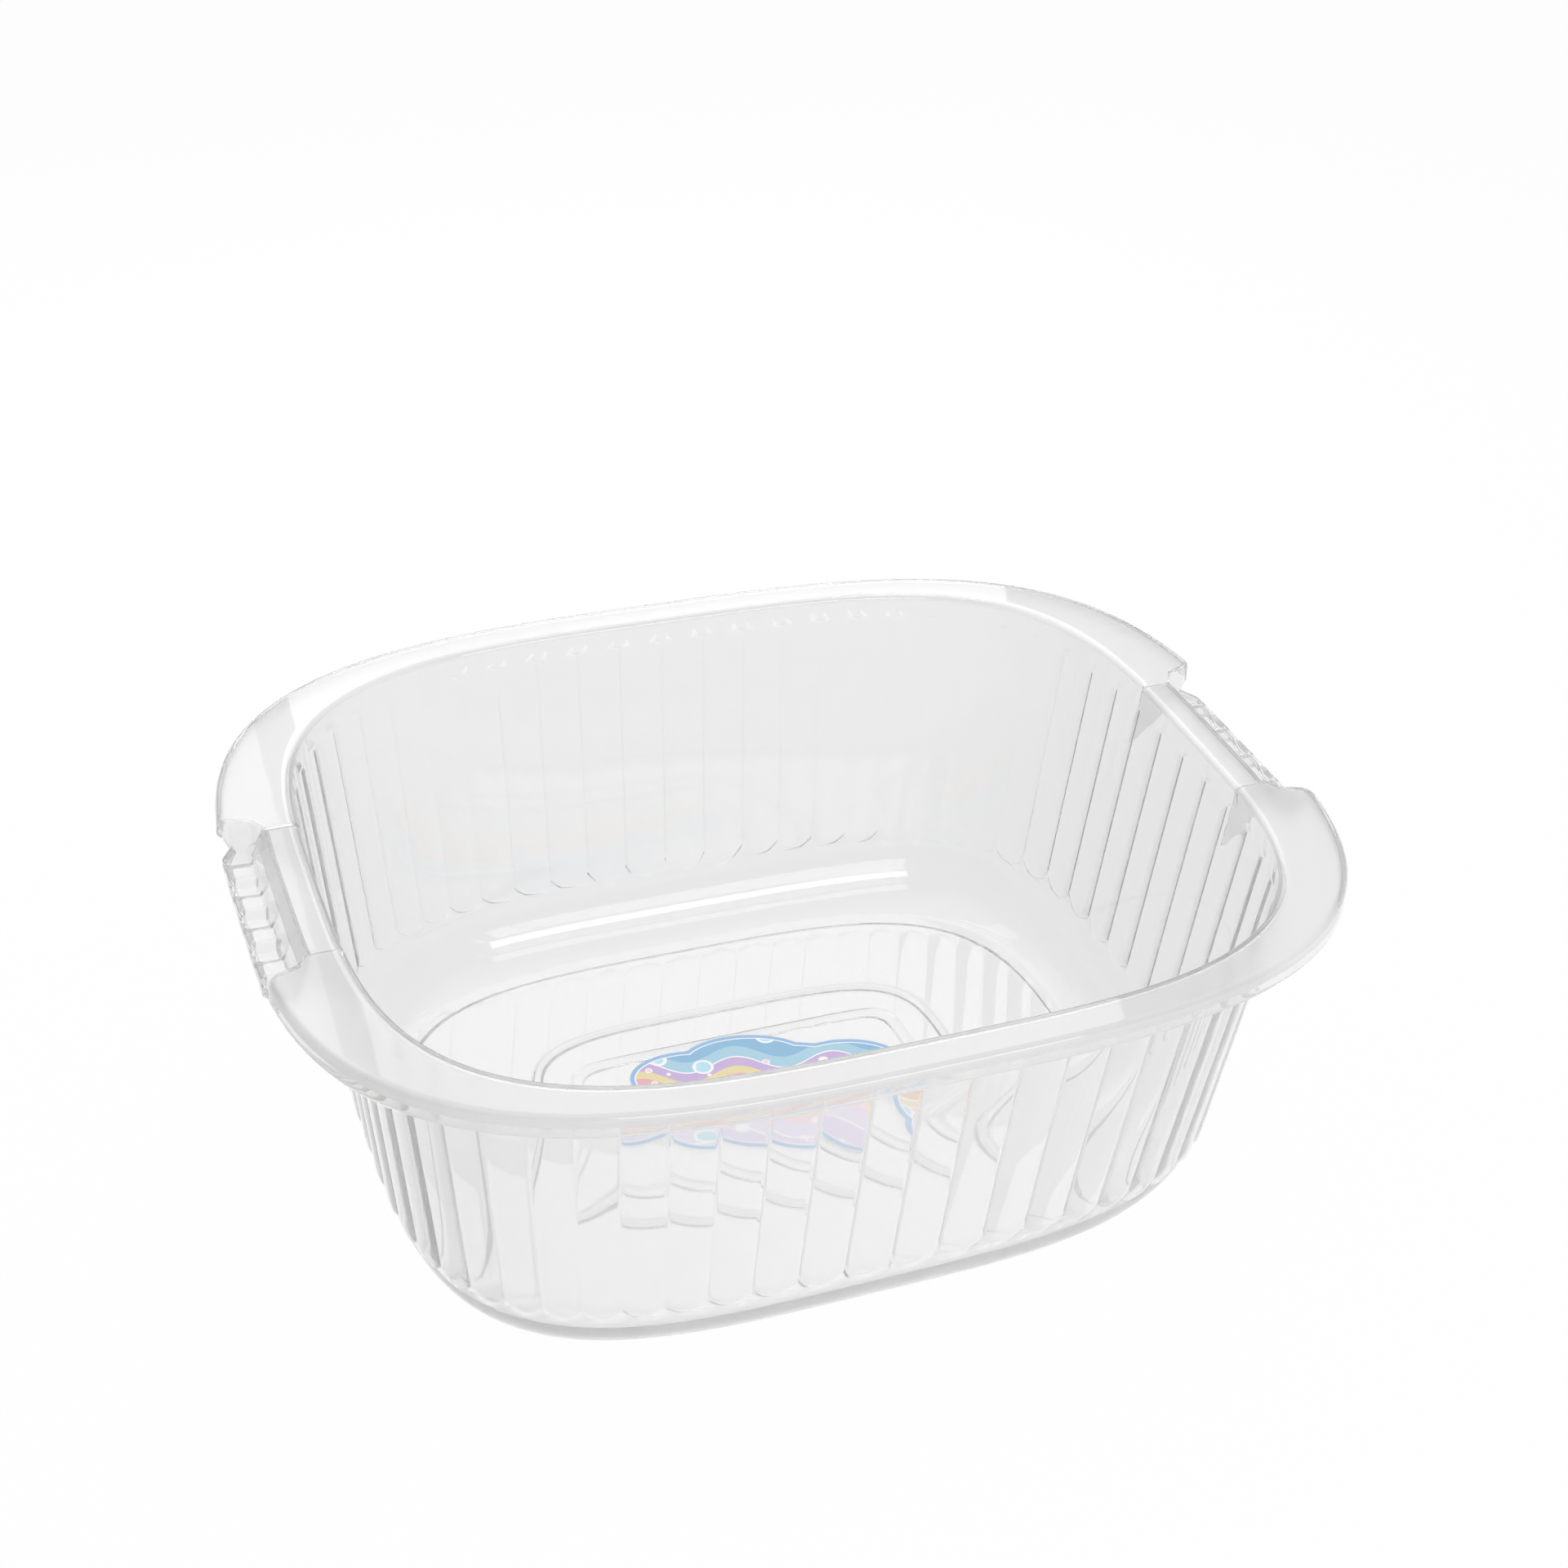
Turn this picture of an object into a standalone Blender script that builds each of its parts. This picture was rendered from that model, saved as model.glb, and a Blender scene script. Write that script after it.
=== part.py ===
"""Clear moulded basin with two finger grips in its rim and a sticker on its floor.

The basin is one injection moulding: a smooth inside, convex flutes round the
outside, a flat rim with a turned-down skirt, and a wavy grip sunk below the rim
at the middle of each short side. Metres, +Z up, origin under the middle of the
base. The long side runs along X.
"""
import bmesh
import bpy
import math

# Overall form. A squareness is the exponent of a plan outline: 2 is an ellipse,
# and a larger number is closer to a rectangle.
BASIN_HEIGHT = 0.1535
RIM_HALF_LENGTH = 0.210
RIM_HALF_WIDTH = 0.1638
RIM_SQUARENESS = 3.14
RIM_SIDE_WIDTH = 0.0303
RIM_LONG_WIDTH = 0.0161
MOUTH_HALF_LENGTH = RIM_HALF_LENGTH - RIM_SIDE_WIDTH
MOUTH_HALF_WIDTH = RIM_HALF_WIDTH - RIM_LONG_WIDTH
MOUTH_SQUARENESS = 3.45

# Wall inside, where it meets the round of the base.
WALL_LEAN_LENGTH = 0.0125
WALL_LEAN_WIDTH = 0.0157
FOOT_HALF_LENGTH = MOUTH_HALF_LENGTH - WALL_LEAN_LENGTH
FOOT_HALF_WIDTH = MOUTH_HALF_WIDTH - WALL_LEAN_WIDTH
FOOT_SQUARENESS = 3.6
FOOT_HEIGHT = 0.033
WALL_THICKNESS = 0.002

# Floor inside, where the round ends.
ROUND_RUN_LENGTH = 0.0203
ROUND_RUN_WIDTH = 0.0207
FLOOR_HALF_LENGTH = FOOT_HALF_LENGTH - ROUND_RUN_LENGTH
FLOOR_HALF_WIDTH = FOOT_HALF_WIDTH - ROUND_RUN_WIDTH
FLOOR_SQUARENESS = 3.61
FLOOR_TOP_HEIGHT = 0.004
FLOOR_EDGE_RISE = 0.0025
ROUND_PULL_HEIGHT = 0.017
ROUND_WALL_SHARE = 0.17
ROUND_FLOOR_SHARE = 0.55

# Underside of the floor.
BASE_RING_WIDTH = 0.0035
BASE_RING_HEIGHT = 0.0015
BASE_STEP_WIDTH = 0.001
BEAD_LENGTH_SHARE = 0.613
BEAD_WIDTH_SHARE = 0.53
BEAD_SQUARENESS = 4.5
BEAD_WIDTH = 0.0024
BEAD_DROP = 0.0009
PANEL_LENGTH_SHARE = 0.47
PANEL_WIDTH_SHARE = 0.36
PANEL_SQUARENESS = 10.0
PANEL_STEP_WIDTH = 0.0006
PANEL_RISE = 0.0006

# Flutes on the outside of the wall. A crease lies at the middle of each side, and
# the flutes are wider along the sides than round the corners.
FLUTE_COUNT = 64
FLUTE_DEPTH = 0.00065
FLUTE_TOP_SPREAD_SHARE = 0.076
FLUTE_FOOT_SPREAD_SHARE = 0.139
FLUTE_TOP_DROP = 0.011
FLUTE_TOP_FADE = 0.003
FLUTE_FOOT_HEIGHT = 0.0345
FLUTE_FOOT_SAG = 0.0045
FLUTE_FOOT_ROUND = 0.0035
FLUTE_FOOT_BULGE_SHARE = 0.8
FLUTE_STEPS = 4

# Rim section.
MOUTH_EDGE_RADIUS = 0.0025
RIM_EDGE_RADIUS = 0.0025
RIM_THICKNESS = 0.002
SKIRT_DEPTH = 0.009
SKIRT_THICKNESS = 0.0016
SKIRT_FLARE = 0.0005
SKIRT_ROOT_RADIUS = 0.0015
ROUND_MIDDLE_SHARE = 0.293

# Finger grip. Its opening in the rim widens outwards, round a soft shoulder, and
# ends in a rounded corner of the rim.
GRIP_HALF_WIDTH = 0.0393
GRIP_SHOULDER_START = 0.0130
GRIP_SHOULDER_END = 0.0172
GRIP_SHOULDER_RISE = 0.0062
GRIP_OUTER_DEPTH = 0.0255
GRIP_OUTER_HALF_WIDTH = 0.0485
GRIP_CORNER_RADIUS = 0.0045
GRIP_CORNER_STEPS = 3
GRIP_CORNER_MOUTH_STEP = 0.0012
GRIP_STRIP_WIDTH = 0.0128
GRIP_STRIP_DROP = 0.0010
GRIP_STRIP_EDGE_RADIUS = 0.0015
GRIP_LEDGE_START = 0.0190
GRIP_LEDGE_DROP = 0.0115
GRIP_LEDGE_END = 0.0264
GRIP_BORDER_START = 0.0279
GRIP_LIP_END = 0.0294
GRIP_LIP_ROUND = 0.0010
GRIP_LIP_DEPTH = 0.0035
GRIP_LIP_WAVE_SHARE = 0.3
GRIP_LEDGE_END_SHARE = 0.57
GRIP_WALL = 0.0018
GRIP_END_WALL = 0.0018
GRIP_END_DRAFT = 0.0003
FINGER_PITCH = 0.0204
FINGER_COUNT = 4
FINGER_WAVE_DEPTH = 0.0028
FINGER_EDGE_SHARES = (0.0, 0.09, 0.21, 0.34, 0.66, 0.79, 0.91)
FINGER_EDGE_HEIGHT_SHARES = (0.0, 0.08, 0.55, 1.0, 1.0, 0.55, 0.08)

# Gussets under the ends of each grip, down the outside of the wall.
GUSSET_HEIGHT = 0.029
GUSSET_THICKNESS = 0.0012
GUSSET_REACH = 0.0170
GUSSET_TOP_REACH = 0.0116
GUSSET_FOOT_WIDTH = 0.0030
GUSSET_SINK = 0.0008

# Sticker, an oblong with soft corners and a wavy edge, stuck on a little askew.
STICKER_LENGTH_SHARE = 0.42
STICKER_WIDTH_SHARE = 0.31
STICKER_SQUARENESS = 2.3
STICKER_SHIFT = 0.0026
STICKER_SKEW_SHARE = -0.033
STICKER_THICKNESS = 0.0004
STICKER_GAP = 0.0003
STICKER_WAVE = 0.0022
STICKER_LOBES = 5
STICKER_TURN_SHARE = 0.353
STICKER_CORNERS = 72

# How finely the outlines are divided.
QUARTER_SAMPLES = 720
PLAIN_QUARTER_STEPS = 24
RIM_QUARTER_STEPS = 22
ROUND_STEPS = 4


def quarter_outline(half_length, half_width, squareness):
    """Points of a quarter outline from +X to +Y, with the length run so far."""
    points = []
    for step in range(QUARTER_SAMPLES + 1):
        angle = math.pi / 2 * step / QUARTER_SAMPLES
        across = abs(math.cos(angle)) / half_length
        along = abs(math.sin(angle)) / half_width
        radius = (across ** squareness + along ** squareness) ** (-1 / squareness)
        points.append((radius * math.cos(angle), radius * math.sin(angle)))
    run = [0.0]
    for before, after in zip(points, points[1:]):
        run.append(run[-1] + math.dist(before, after))
    return points, run


def outline_point(outline, share):
    """The point that lies a share of the way along a quarter outline."""
    points, run = outline
    target = min(max(share, 0.0), 1.0) * run[-1]
    low = 0
    high = len(run) - 1
    while high - low > 1:
        middle = (low + high) // 2
        if run[middle] <= target:
            low = middle
        else:
            high = middle
    part = (target - run[low]) / (run[high] - run[low])
    start, end = points[low], points[high]
    return (start[0] + part * (end[0] - start[0]), start[1] + part * (end[1] - start[1]))


def share_at_y(outline, y):
    """The share of a quarter outline at which it has passed a given Y."""
    low, high = 0.0, 1.0
    for _ in range(40):
        middle = (low + high) / 2
        if outline_point(outline, middle)[1] < y:
            low = middle
        else:
            high = middle
    return (low + high) / 2


def mirrored(quarter):
    """A whole ring from a quarter of (x, y, z) points that runs from +X to +Y."""
    first = [(x, y, z) for x, y, z in quarter]
    second = [(-x, y, z) for x, y, z in reversed(quarter[:-1])]
    third = [(-x, -y, z) for x, y, z in quarter[1:]]
    fourth = [(x, -y, z) for x, y, z in reversed(quarter[1:-1])]
    return first + second + third + fourth


def ring_shares(shares):
    """The share of the whole ring at each point that mirrored() gives."""
    first = list(shares)
    second = [2 - share for share in reversed(shares[:-1])]
    third = [2 + share for share in shares[1:]]
    fourth = [4 - share for share in reversed(shares[1:-1])]
    return first + second + third + fourth


def add_ring(mesh, quarter):
    return [mesh.verts.new(point) for point in mirrored(quarter)]


def bridge(mesh, lower, upper, lower_shares, upper_shares):
    """Faces between two rings, whose counts may differ. They face away from
    the middle where the upper ring is above the lower one."""
    if len(lower) == len(upper):
        for index in range(len(lower)):
            after = (index + 1) % len(lower)
            mesh.faces.new((lower[index], lower[after], upper[after], upper[index]))
        return
    low_turn = list(lower_shares) + [lower_shares[0] + 4]
    high_turn = list(upper_shares) + [upper_shares[0] + 4]
    low = 0
    high = 0
    while low < len(lower) or high < len(upper):
        low_next = low_turn[low + 1] if low < len(lower) else math.inf
        high_next = high_turn[high + 1] if high < len(upper) else math.inf
        low_vert = lower[low % len(lower)]
        high_vert = upper[high % len(upper)]
        if math.isclose(low_next, high_next, abs_tol=1e-6):
            mesh.faces.new((low_vert, lower[(low + 1) % len(lower)],
                            upper[(high + 1) % len(upper)], high_vert))
            low += 1
            high += 1
        elif low_next < high_next:
            mesh.faces.new((low_vert, lower[(low + 1) % len(lower)], high_vert))
            low += 1
        else:
            mesh.faces.new((low_vert, upper[(high + 1) % len(upper)], high_vert))
            high += 1


def mix(start, end, part):
    return start + (end - start) * part


def wall_outline(height, offset):
    """Outline of the wall at a height, set out from the inside face."""
    part = (BASIN_HEIGHT - height) / (BASIN_HEIGHT - FOOT_HEIGHT)
    return quarter_outline(mix(MOUTH_HALF_LENGTH, FOOT_HALF_LENGTH, part) + offset,
                           mix(MOUTH_HALF_WIDTH, FOOT_HALF_WIDTH, part) + offset,
                           mix(MOUTH_SQUARENESS, FOOT_SQUARENESS, part))


def bezier(start, first, second, end, part):
    rest = 1 - part
    return (start * rest ** 3 + 3 * first * rest ** 2 * part
            + 3 * second * rest * part ** 2 + end * part ** 3)


def round_section(part, floor_height, offset):
    """Plan outline sizes and height on the round between wall and floor."""
    inward = bezier(0.0, ROUND_WALL_SHARE, ROUND_FLOOR_SHARE, 1.0, part)
    height = bezier(FOOT_HEIGHT, ROUND_PULL_HEIGHT, floor_height + FLOOR_EDGE_RISE,
                    floor_height, part)
    outline = quarter_outline(mix(FOOT_HALF_LENGTH, FLOOR_HALF_LENGTH, inward) + offset,
                              mix(FOOT_HALF_WIDTH, FLOOR_HALF_WIDTH, inward) + offset,
                              mix(FOOT_SQUARENESS, FLOOR_SQUARENESS, inward))
    return outline, height


def flat_quarter(outline, shares, height):
    return [(*outline_point(outline, share), height) for share in shares]


def flute_shares(steps):
    """Shares of a quarter at the flutes' creases and between them, each with
    how far through its flute it lies."""
    count = FLUTE_COUNT * steps // 4
    return [(step / count, step / steps % 1) for step in range(count + 1)]


def flute_share(share, height):
    """Where an evenly counted share of a quarter lies at a height on the wall."""
    part = (height - FOOT_HEIGHT) / (BASIN_HEIGHT - FOOT_HEIGHT)
    spread = mix(FLUTE_FOOT_SPREAD_SHARE, FLUTE_TOP_SPREAD_SHARE, part)
    return share + spread / math.tau * math.sin(math.tau * share)


def flute_bulge(through):
    """Height share of the convex flute, none at its creases."""
    return 1 - (2 * through - 1) ** 2


def fluted_quarter(columns, height_at, depth_share):
    """A quarter ring on the fluted wall. height_at takes the bulge share."""
    quarter = []
    for share, through in columns:
        bulge = flute_bulge(through)
        height = height_at(bulge)
        offset = WALL_THICKNESS + FLUTE_DEPTH * bulge * depth_share
        outline = wall_outline_cached(height, offset)
        quarter.append((*outline_point(outline, flute_share(share, height)), height))
    return quarter


OUTLINES = {}


def wall_outline_cached(height, offset):
    key = (round(height, 7), round(offset, 7))
    if key not in OUTLINES:
        OUTLINES[key] = wall_outline(height, offset)
    return OUTLINES[key]


def grip_end(distance):
    """Half the width of the grip's opening at a distance out from the mouth."""
    part = (distance - GRIP_SHOULDER_START) / (GRIP_SHOULDER_END - GRIP_SHOULDER_START)
    part = min(max(part, 0.0), 1.0)
    width = GRIP_HALF_WIDTH + GRIP_SHOULDER_RISE * part * part * (3 - 2 * part)
    beyond = (distance - GRIP_SHOULDER_END) / (GRIP_OUTER_DEPTH - GRIP_SHOULDER_END)
    beyond = min(max(beyond, 0.0), 1.0)
    return width + (GRIP_OUTER_HALF_WIDTH - GRIP_HALF_WIDTH - GRIP_SHOULDER_RISE) * beyond


def finger_height(y):
    """Height share of the finger waves at a place along the grip."""
    place = abs(y) / FINGER_PITCH
    if place >= FINGER_COUNT / 2:
        return 0.0
    place -= math.floor(place)
    edges = list(FINGER_EDGE_SHARES) + [1.0]
    heights = list(FINGER_EDGE_HEIGHT_SHARES) + [0.0]
    for index in range(len(edges) - 1):
        if place <= edges[index + 1]:
            part = (place - edges[index]) / (edges[index + 1] - edges[index])
            return mix(heights[index], heights[index + 1], part)
    return 0.0


def rim_columns():
    """Columns of a quarter of the rim: each has its share of the mouth, its
    kind (grip, end, corner or plain) and its place among its kind."""
    mouth = quarter_outline(MOUTH_HALF_LENGTH, MOUTH_HALF_WIDTH, MOUTH_SQUARENESS)
    spread = grip_end(GRIP_LEDGE_START) / GRIP_HALF_WIDTH
    places = []
    for finger in range(FINGER_COUNT // 2):
        for share in FINGER_EDGE_SHARES:
            places.append((finger + share) * FINGER_PITCH / spread)
    places.append(FINGER_COUNT / 2 * FINGER_PITCH / spread)
    columns = [(share_at_y(mouth, place), "grip", place) for place in places]
    columns.append((share_at_y(mouth, GRIP_HALF_WIDTH), "grip", GRIP_HALF_WIDTH))
    for place in (GRIP_HALF_WIDTH + GRIP_END_DRAFT, GRIP_HALF_WIDTH + GRIP_END_WALL):
        columns.append((share_at_y(mouth, place), "end", place))
    start = GRIP_HALF_WIDTH + GRIP_END_WALL + GRIP_END_DRAFT
    for step in range(GRIP_CORNER_STEPS + 1):
        place = start + step * GRIP_CORNER_MOUTH_STEP
        columns.append((share_at_y(mouth, place), "corner", step / GRIP_CORNER_STEPS))
    plain_start = columns[-1][0]
    for step in range(RIM_QUARTER_STEPS):
        part = (step + 1) / RIM_QUARTER_STEPS
        columns.append((mix(plain_start, 1.0, part), "plain", part))
    return columns


def rim_paths(columns):
    """For each column, its mouth point, its outer point and how much of the
    grip's shoulder it follows."""
    mouth = quarter_outline(MOUTH_HALF_LENGTH, MOUTH_HALF_WIDTH, MOUTH_SQUARENESS)
    outer = quarter_outline(RIM_HALF_LENGTH, RIM_HALF_WIDTH, RIM_SQUARENESS)
    wall_y = GRIP_OUTER_HALF_WIDTH + GRIP_END_DRAFT
    corner_share = share_at_y(outer, wall_y + GRIP_CORNER_RADIUS)
    corner_x = outline_point(outer, corner_share)[0] - GRIP_CORNER_RADIUS

    def corner_point(past_wall):
        rest = GRIP_CORNER_RADIUS - past_wall
        reach = math.sqrt(max(0.0, GRIP_CORNER_RADIUS ** 2 - rest ** 2))
        return (corner_x + reach, wall_y + past_wall)

    paths = []
    for share, kind, place in columns:
        start = outline_point(mouth, share)
        if kind == "plain":
            end = outline_point(outer, mix(corner_share, 1.0, place))
            paths.append((start, end, max(0.0, 1 - place * RIM_QUARTER_STEPS / 3)))
        elif kind == "corner":
            paths.append((start, corner_point(mix(GRIP_END_WALL, GRIP_CORNER_RADIUS, place)), 1.0))
        elif kind == "end":
            past_wall = place - GRIP_HALF_WIDTH - GRIP_END_DRAFT
            paths.append((start, corner_point(past_wall), 1.0))
        else:
            paths.append((start, (corner_x, GRIP_OUTER_HALF_WIDTH), 1.0))
    return paths


def along_path(column, path, distance, from_outer):
    """The plan point a distance along a rim column, from its mouth or edge. The
    ledge gets narrower at its ends, to stay behind the rounded corners."""
    share, kind, place = column
    start, end, weight = path
    if kind in ("grip", "end"):
        run = end[0] - start[0] - distance if from_outer else distance
        if kind == "end" or place == GRIP_HALF_WIDTH:
            if not from_outer:
                past = max(run - GRIP_LEDGE_START, 0.0)
                run -= past * (1 - GRIP_LEDGE_END_SHARE)
            return (start[0] + run, start[1] + grip_end(run) - GRIP_HALF_WIDTH)
        spread = grip_end(min(run, GRIP_LEDGE_START)) / GRIP_HALF_WIDTH
        return (start[0] + run, start[1] * spread)
    length = math.dist(start, end)
    part = (length - distance) / length if from_outer else distance / length
    x = mix(start[0], end[0], part)
    y = mix(start[1], end[1], part)
    straight = mix(GRIP_HALF_WIDTH, GRIP_OUTER_HALF_WIDTH, part)
    return (x, y + weight * (grip_end(x - start[0]) - straight))


def rim_rings(columns, paths):
    """Quarter rings of the rim, from the mouth edge over the top, down the
    outside and back underneath to the wall."""
    top = BASIN_HEIGHT
    skirt = top - SKIRT_DEPTH
    strip = top - GRIP_STRIP_DROP
    ledge = top - GRIP_LEDGE_DROP
    lip = ledge - GRIP_LIP_DEPTH
    middle = ROUND_MIDDLE_SHARE
    strip_slope = (GRIP_LEDGE_START - GRIP_STRIP_WIDTH - GRIP_STRIP_EDGE_RADIUS)
    # Each row: plain place (distance, from the outer edge), plain height, grip
    # distance from the mouth, grip height, share of the finger wave.
    over = (
        (0.0, False, top - MOUTH_EDGE_RADIUS, 0.0, top - MOUTH_EDGE_RADIUS, 0.0),
        (MOUTH_EDGE_RADIUS * middle, False, top - MOUTH_EDGE_RADIUS * middle,
         MOUTH_EDGE_RADIUS * middle, strip - MOUTH_EDGE_RADIUS * middle, 0.0),
        (MOUTH_EDGE_RADIUS, False, top, MOUTH_EDGE_RADIUS, strip, 0.0),
        (RIM_EDGE_RADIUS, True, top, GRIP_STRIP_WIDTH - GRIP_STRIP_EDGE_RADIUS, strip, 0.0),
        (RIM_EDGE_RADIUS * middle + SKIRT_FLARE, True, top - RIM_EDGE_RADIUS * middle,
         GRIP_STRIP_WIDTH, strip - GRIP_STRIP_EDGE_RADIUS * middle, 0.0),
        (SKIRT_FLARE, True, top - RIM_EDGE_RADIUS, GRIP_LEDGE_START, ledge, 1.0),
        (SKIRT_FLARE, True, top - RIM_EDGE_RADIUS - GRIP_WALL / 2, GRIP_LEDGE_END, ledge, 1.0),
        (SKIRT_FLARE, True, top - RIM_EDGE_RADIUS - GRIP_WALL, GRIP_BORDER_START, ledge, 0.0),
        (SKIRT_FLARE / 2, True, (top + skirt) / 2, GRIP_LIP_END, ledge - GRIP_LIP_ROUND, 0.0),
        (0.0, True, skirt, GRIP_LIP_END, lip, GRIP_LIP_WAVE_SHARE))
    under = (
        (SKIRT_THICKNESS, True, skirt, GRIP_LIP_END - SKIRT_THICKNESS, lip,
         GRIP_LIP_WAVE_SHARE),
        (SKIRT_THICKNESS + SKIRT_FLARE, True, top - RIM_THICKNESS - SKIRT_ROOT_RADIUS,
         GRIP_LEDGE_END - GRIP_WALL / 2, ledge - GRIP_WALL, 1.0),
        (SKIRT_THICKNESS + SKIRT_ROOT_RADIUS, True, top - RIM_THICKNESS,
         GRIP_LEDGE_START - strip_slope * middle, ledge - GRIP_WALL, 1.0),
        (WALL_THICKNESS + SKIRT_ROOT_RADIUS, False, top - RIM_THICKNESS,
         GRIP_STRIP_WIDTH - strip_slope * middle, strip - RIM_THICKNESS, 0.0))
    rings = []
    for rows, grip_kinds in ((over, ("grip",)), (under, ("grip", "end"))):
        for distance, from_outer, height, grip_distance, grip_height, wave in rows:
            quarter = []
            for column, path in zip(columns, paths):
                if column[1] in grip_kinds:
                    x, y = along_path(column, path, grip_distance, False)
                    fall = FINGER_WAVE_DEPTH * wave * (1 - finger_height(y))
                    quarter.append((x, y, grip_height - fall))
                else:
                    quarter.append((*along_path(column, path, distance, from_outer), height))
            rings.append(quarter)
    return rings


def build_basin_mesh():
    mesh = bmesh.new()
    plain = [step / PLAIN_QUARTER_STEPS for step in range(PLAIN_QUARTER_STEPS + 1)]
    plain_ring = ring_shares(plain)
    fluted = flute_shares(FLUTE_STEPS)
    fluted_ring = ring_shares([flute_share(share, BASIN_HEIGHT) for share, through in fluted])
    columns = rim_columns()
    rim_ring = ring_shares([share for share, kind, part in columns])
    paths = rim_paths(columns)

    rings = []

    def stack(quarter, shares):
        rings.append((add_ring(mesh, quarter), shares))

    # Underside of the floor, from its middle outwards.
    under_floor = BASE_RING_HEIGHT
    panel = (FLOOR_HALF_LENGTH * PANEL_LENGTH_SHARE, FLOOR_HALF_WIDTH * PANEL_WIDTH_SHARE)
    bead = (FLOOR_HALF_LENGTH * BEAD_LENGTH_SHARE, FLOOR_HALF_WIDTH * BEAD_WIDTH_SHARE)
    ring_edge = (FLOOR_HALF_LENGTH - BASE_RING_WIDTH, FLOOR_HALF_WIDTH - BASE_RING_WIDTH)
    floor_rows = (
        (panel, 0.0, PANEL_SQUARENESS, under_floor + PANEL_RISE),
        (panel, PANEL_STEP_WIDTH, PANEL_SQUARENESS, under_floor),
        (bead, -BEAD_WIDTH / 2, BEAD_SQUARENESS, under_floor),
        (bead, 0.0, BEAD_SQUARENESS, under_floor - BEAD_DROP),
        (bead, BEAD_WIDTH / 2, BEAD_SQUARENESS, under_floor),
        (ring_edge, -BASE_STEP_WIDTH, FLOOR_SQUARENESS, under_floor),
        (ring_edge, 0.0, FLOOR_SQUARENESS, 0.0))
    for (half_length, half_width), offset, squareness, height in floor_rows:
        outline = quarter_outline(half_length + offset, half_width + offset, squareness)
        stack(flat_quarter(outline, plain, height), plain_ring)
    mesh.faces.new(list(reversed(rings[0][0])))

    # The round of the base outside, from the base ring up to the flutes.
    for step in range(ROUND_STEPS):
        outline, height = round_section(1 - step / ROUND_STEPS, 0.0, WALL_THICKNESS)
        stack(flat_quarter(outline, plain, height), plain_ring)

    # Flutes.
    def foot_height(bulge):
        return FLUTE_FOOT_HEIGHT - FLUTE_FOOT_SAG * bulge

    flute_top = BASIN_HEIGHT - FLUTE_TOP_DROP
    stack(fluted_quarter(fluted, foot_height, 0.0), fluted_ring)
    stack(fluted_quarter(fluted, lambda bulge: foot_height(bulge) + FLUTE_FOOT_ROUND * bulge * (
        1 - FLUTE_FOOT_BULGE_SHARE), FLUTE_FOOT_BULGE_SHARE), fluted_ring)
    stack(fluted_quarter(fluted, lambda bulge: foot_height(bulge) + FLUTE_FOOT_ROUND, 1.0),
          fluted_ring)
    stack(fluted_quarter(fluted, lambda bulge: flute_top - FLUTE_TOP_FADE, 1.0), fluted_ring)
    stack(fluted_quarter(fluted, lambda bulge: flute_top, 0.0), fluted_ring)

    # Rim, from the wall outwards underneath and back over the top.
    under_rim = wall_outline(BASIN_HEIGHT - RIM_THICKNESS - SKIRT_ROOT_RADIUS, WALL_THICKNESS)
    stack(flat_quarter(under_rim, [share for share, kind, part in columns],
                       BASIN_HEIGHT - RIM_THICKNESS - SKIRT_ROOT_RADIUS), rim_ring)
    for quarter in reversed(rim_rings(columns, paths)):
        stack(quarter, rim_ring)

    # Inside: wall, round and floor.
    for step in range(ROUND_STEPS + 1):
        outline, height = round_section(step / ROUND_STEPS, FLOOR_TOP_HEIGHT, 0.0)
        stack(flat_quarter(outline, plain, height), plain_ring)
    mesh.faces.new(rings[-1][0])

    for (lower, lower_shares), (upper, upper_shares) in zip(rings, rings[1:]):
        bridge(mesh, lower, upper, lower_shares, upper_shares)
    return mesh


def material(name, colour, roughness):
    made = bpy.data.materials.new(name)
    made.use_nodes = True
    shader = made.node_tree.nodes["Principled BSDF"]
    shader.inputs["Base Color"].default_value = colour
    shader.inputs["Metallic"].default_value = 0.0
    shader.inputs["Roughness"].default_value = roughness
    return made


def add_object(name, mesh, made):
    data = bpy.data.meshes.new(name)
    mesh.to_mesh(data)
    mesh.free()
    data.materials.append(made)
    data.shade_smooth()
    data.set_sharp_from_angle(angle=math.radians(25))
    part = bpy.data.objects.new(name, data)
    bpy.context.scene.collection.objects.link(part)
    return part


def build_sticker_mesh():
    """A flat wavy-edged patch on the middle of the floor."""
    mesh = bmesh.new()
    half_length = FLOOR_HALF_LENGTH * STICKER_LENGTH_SHARE
    half_width = FLOOR_HALF_WIDTH * STICKER_WIDTH_SHARE
    turn = math.tau * STICKER_TURN_SHARE
    corners = []
    for corner in range(STICKER_CORNERS):
        angle = math.tau * corner / STICKER_CORNERS
        across = abs(math.cos(angle)) / half_length
        along = abs(math.sin(angle)) / half_width
        radius = (across ** STICKER_SQUARENESS + along ** STICKER_SQUARENESS) ** (
            -1 / STICKER_SQUARENESS)
        radius += STICKER_WAVE * math.cos(STICKER_LOBES * angle - turn)
        skewed = angle + math.tau * STICKER_SKEW_SHARE
        corners.append(mesh.verts.new((STICKER_SHIFT + radius * math.cos(skewed),
                                       STICKER_SHIFT + radius * math.sin(skewed),
                                       FLOOR_TOP_HEIGHT + STICKER_GAP)))
    face = mesh.faces.new(corners)
    grown = bmesh.ops.extrude_face_region(mesh, geom=[face])
    top = [part for part in grown["geom"] if isinstance(part, bmesh.types.BMVert)]
    bmesh.ops.translate(mesh, verts=top, vec=(0.0, 0.0, STICKER_THICKNESS))
    bmesh.ops.recalc_face_normals(mesh, faces=mesh.faces)
    return mesh


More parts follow.
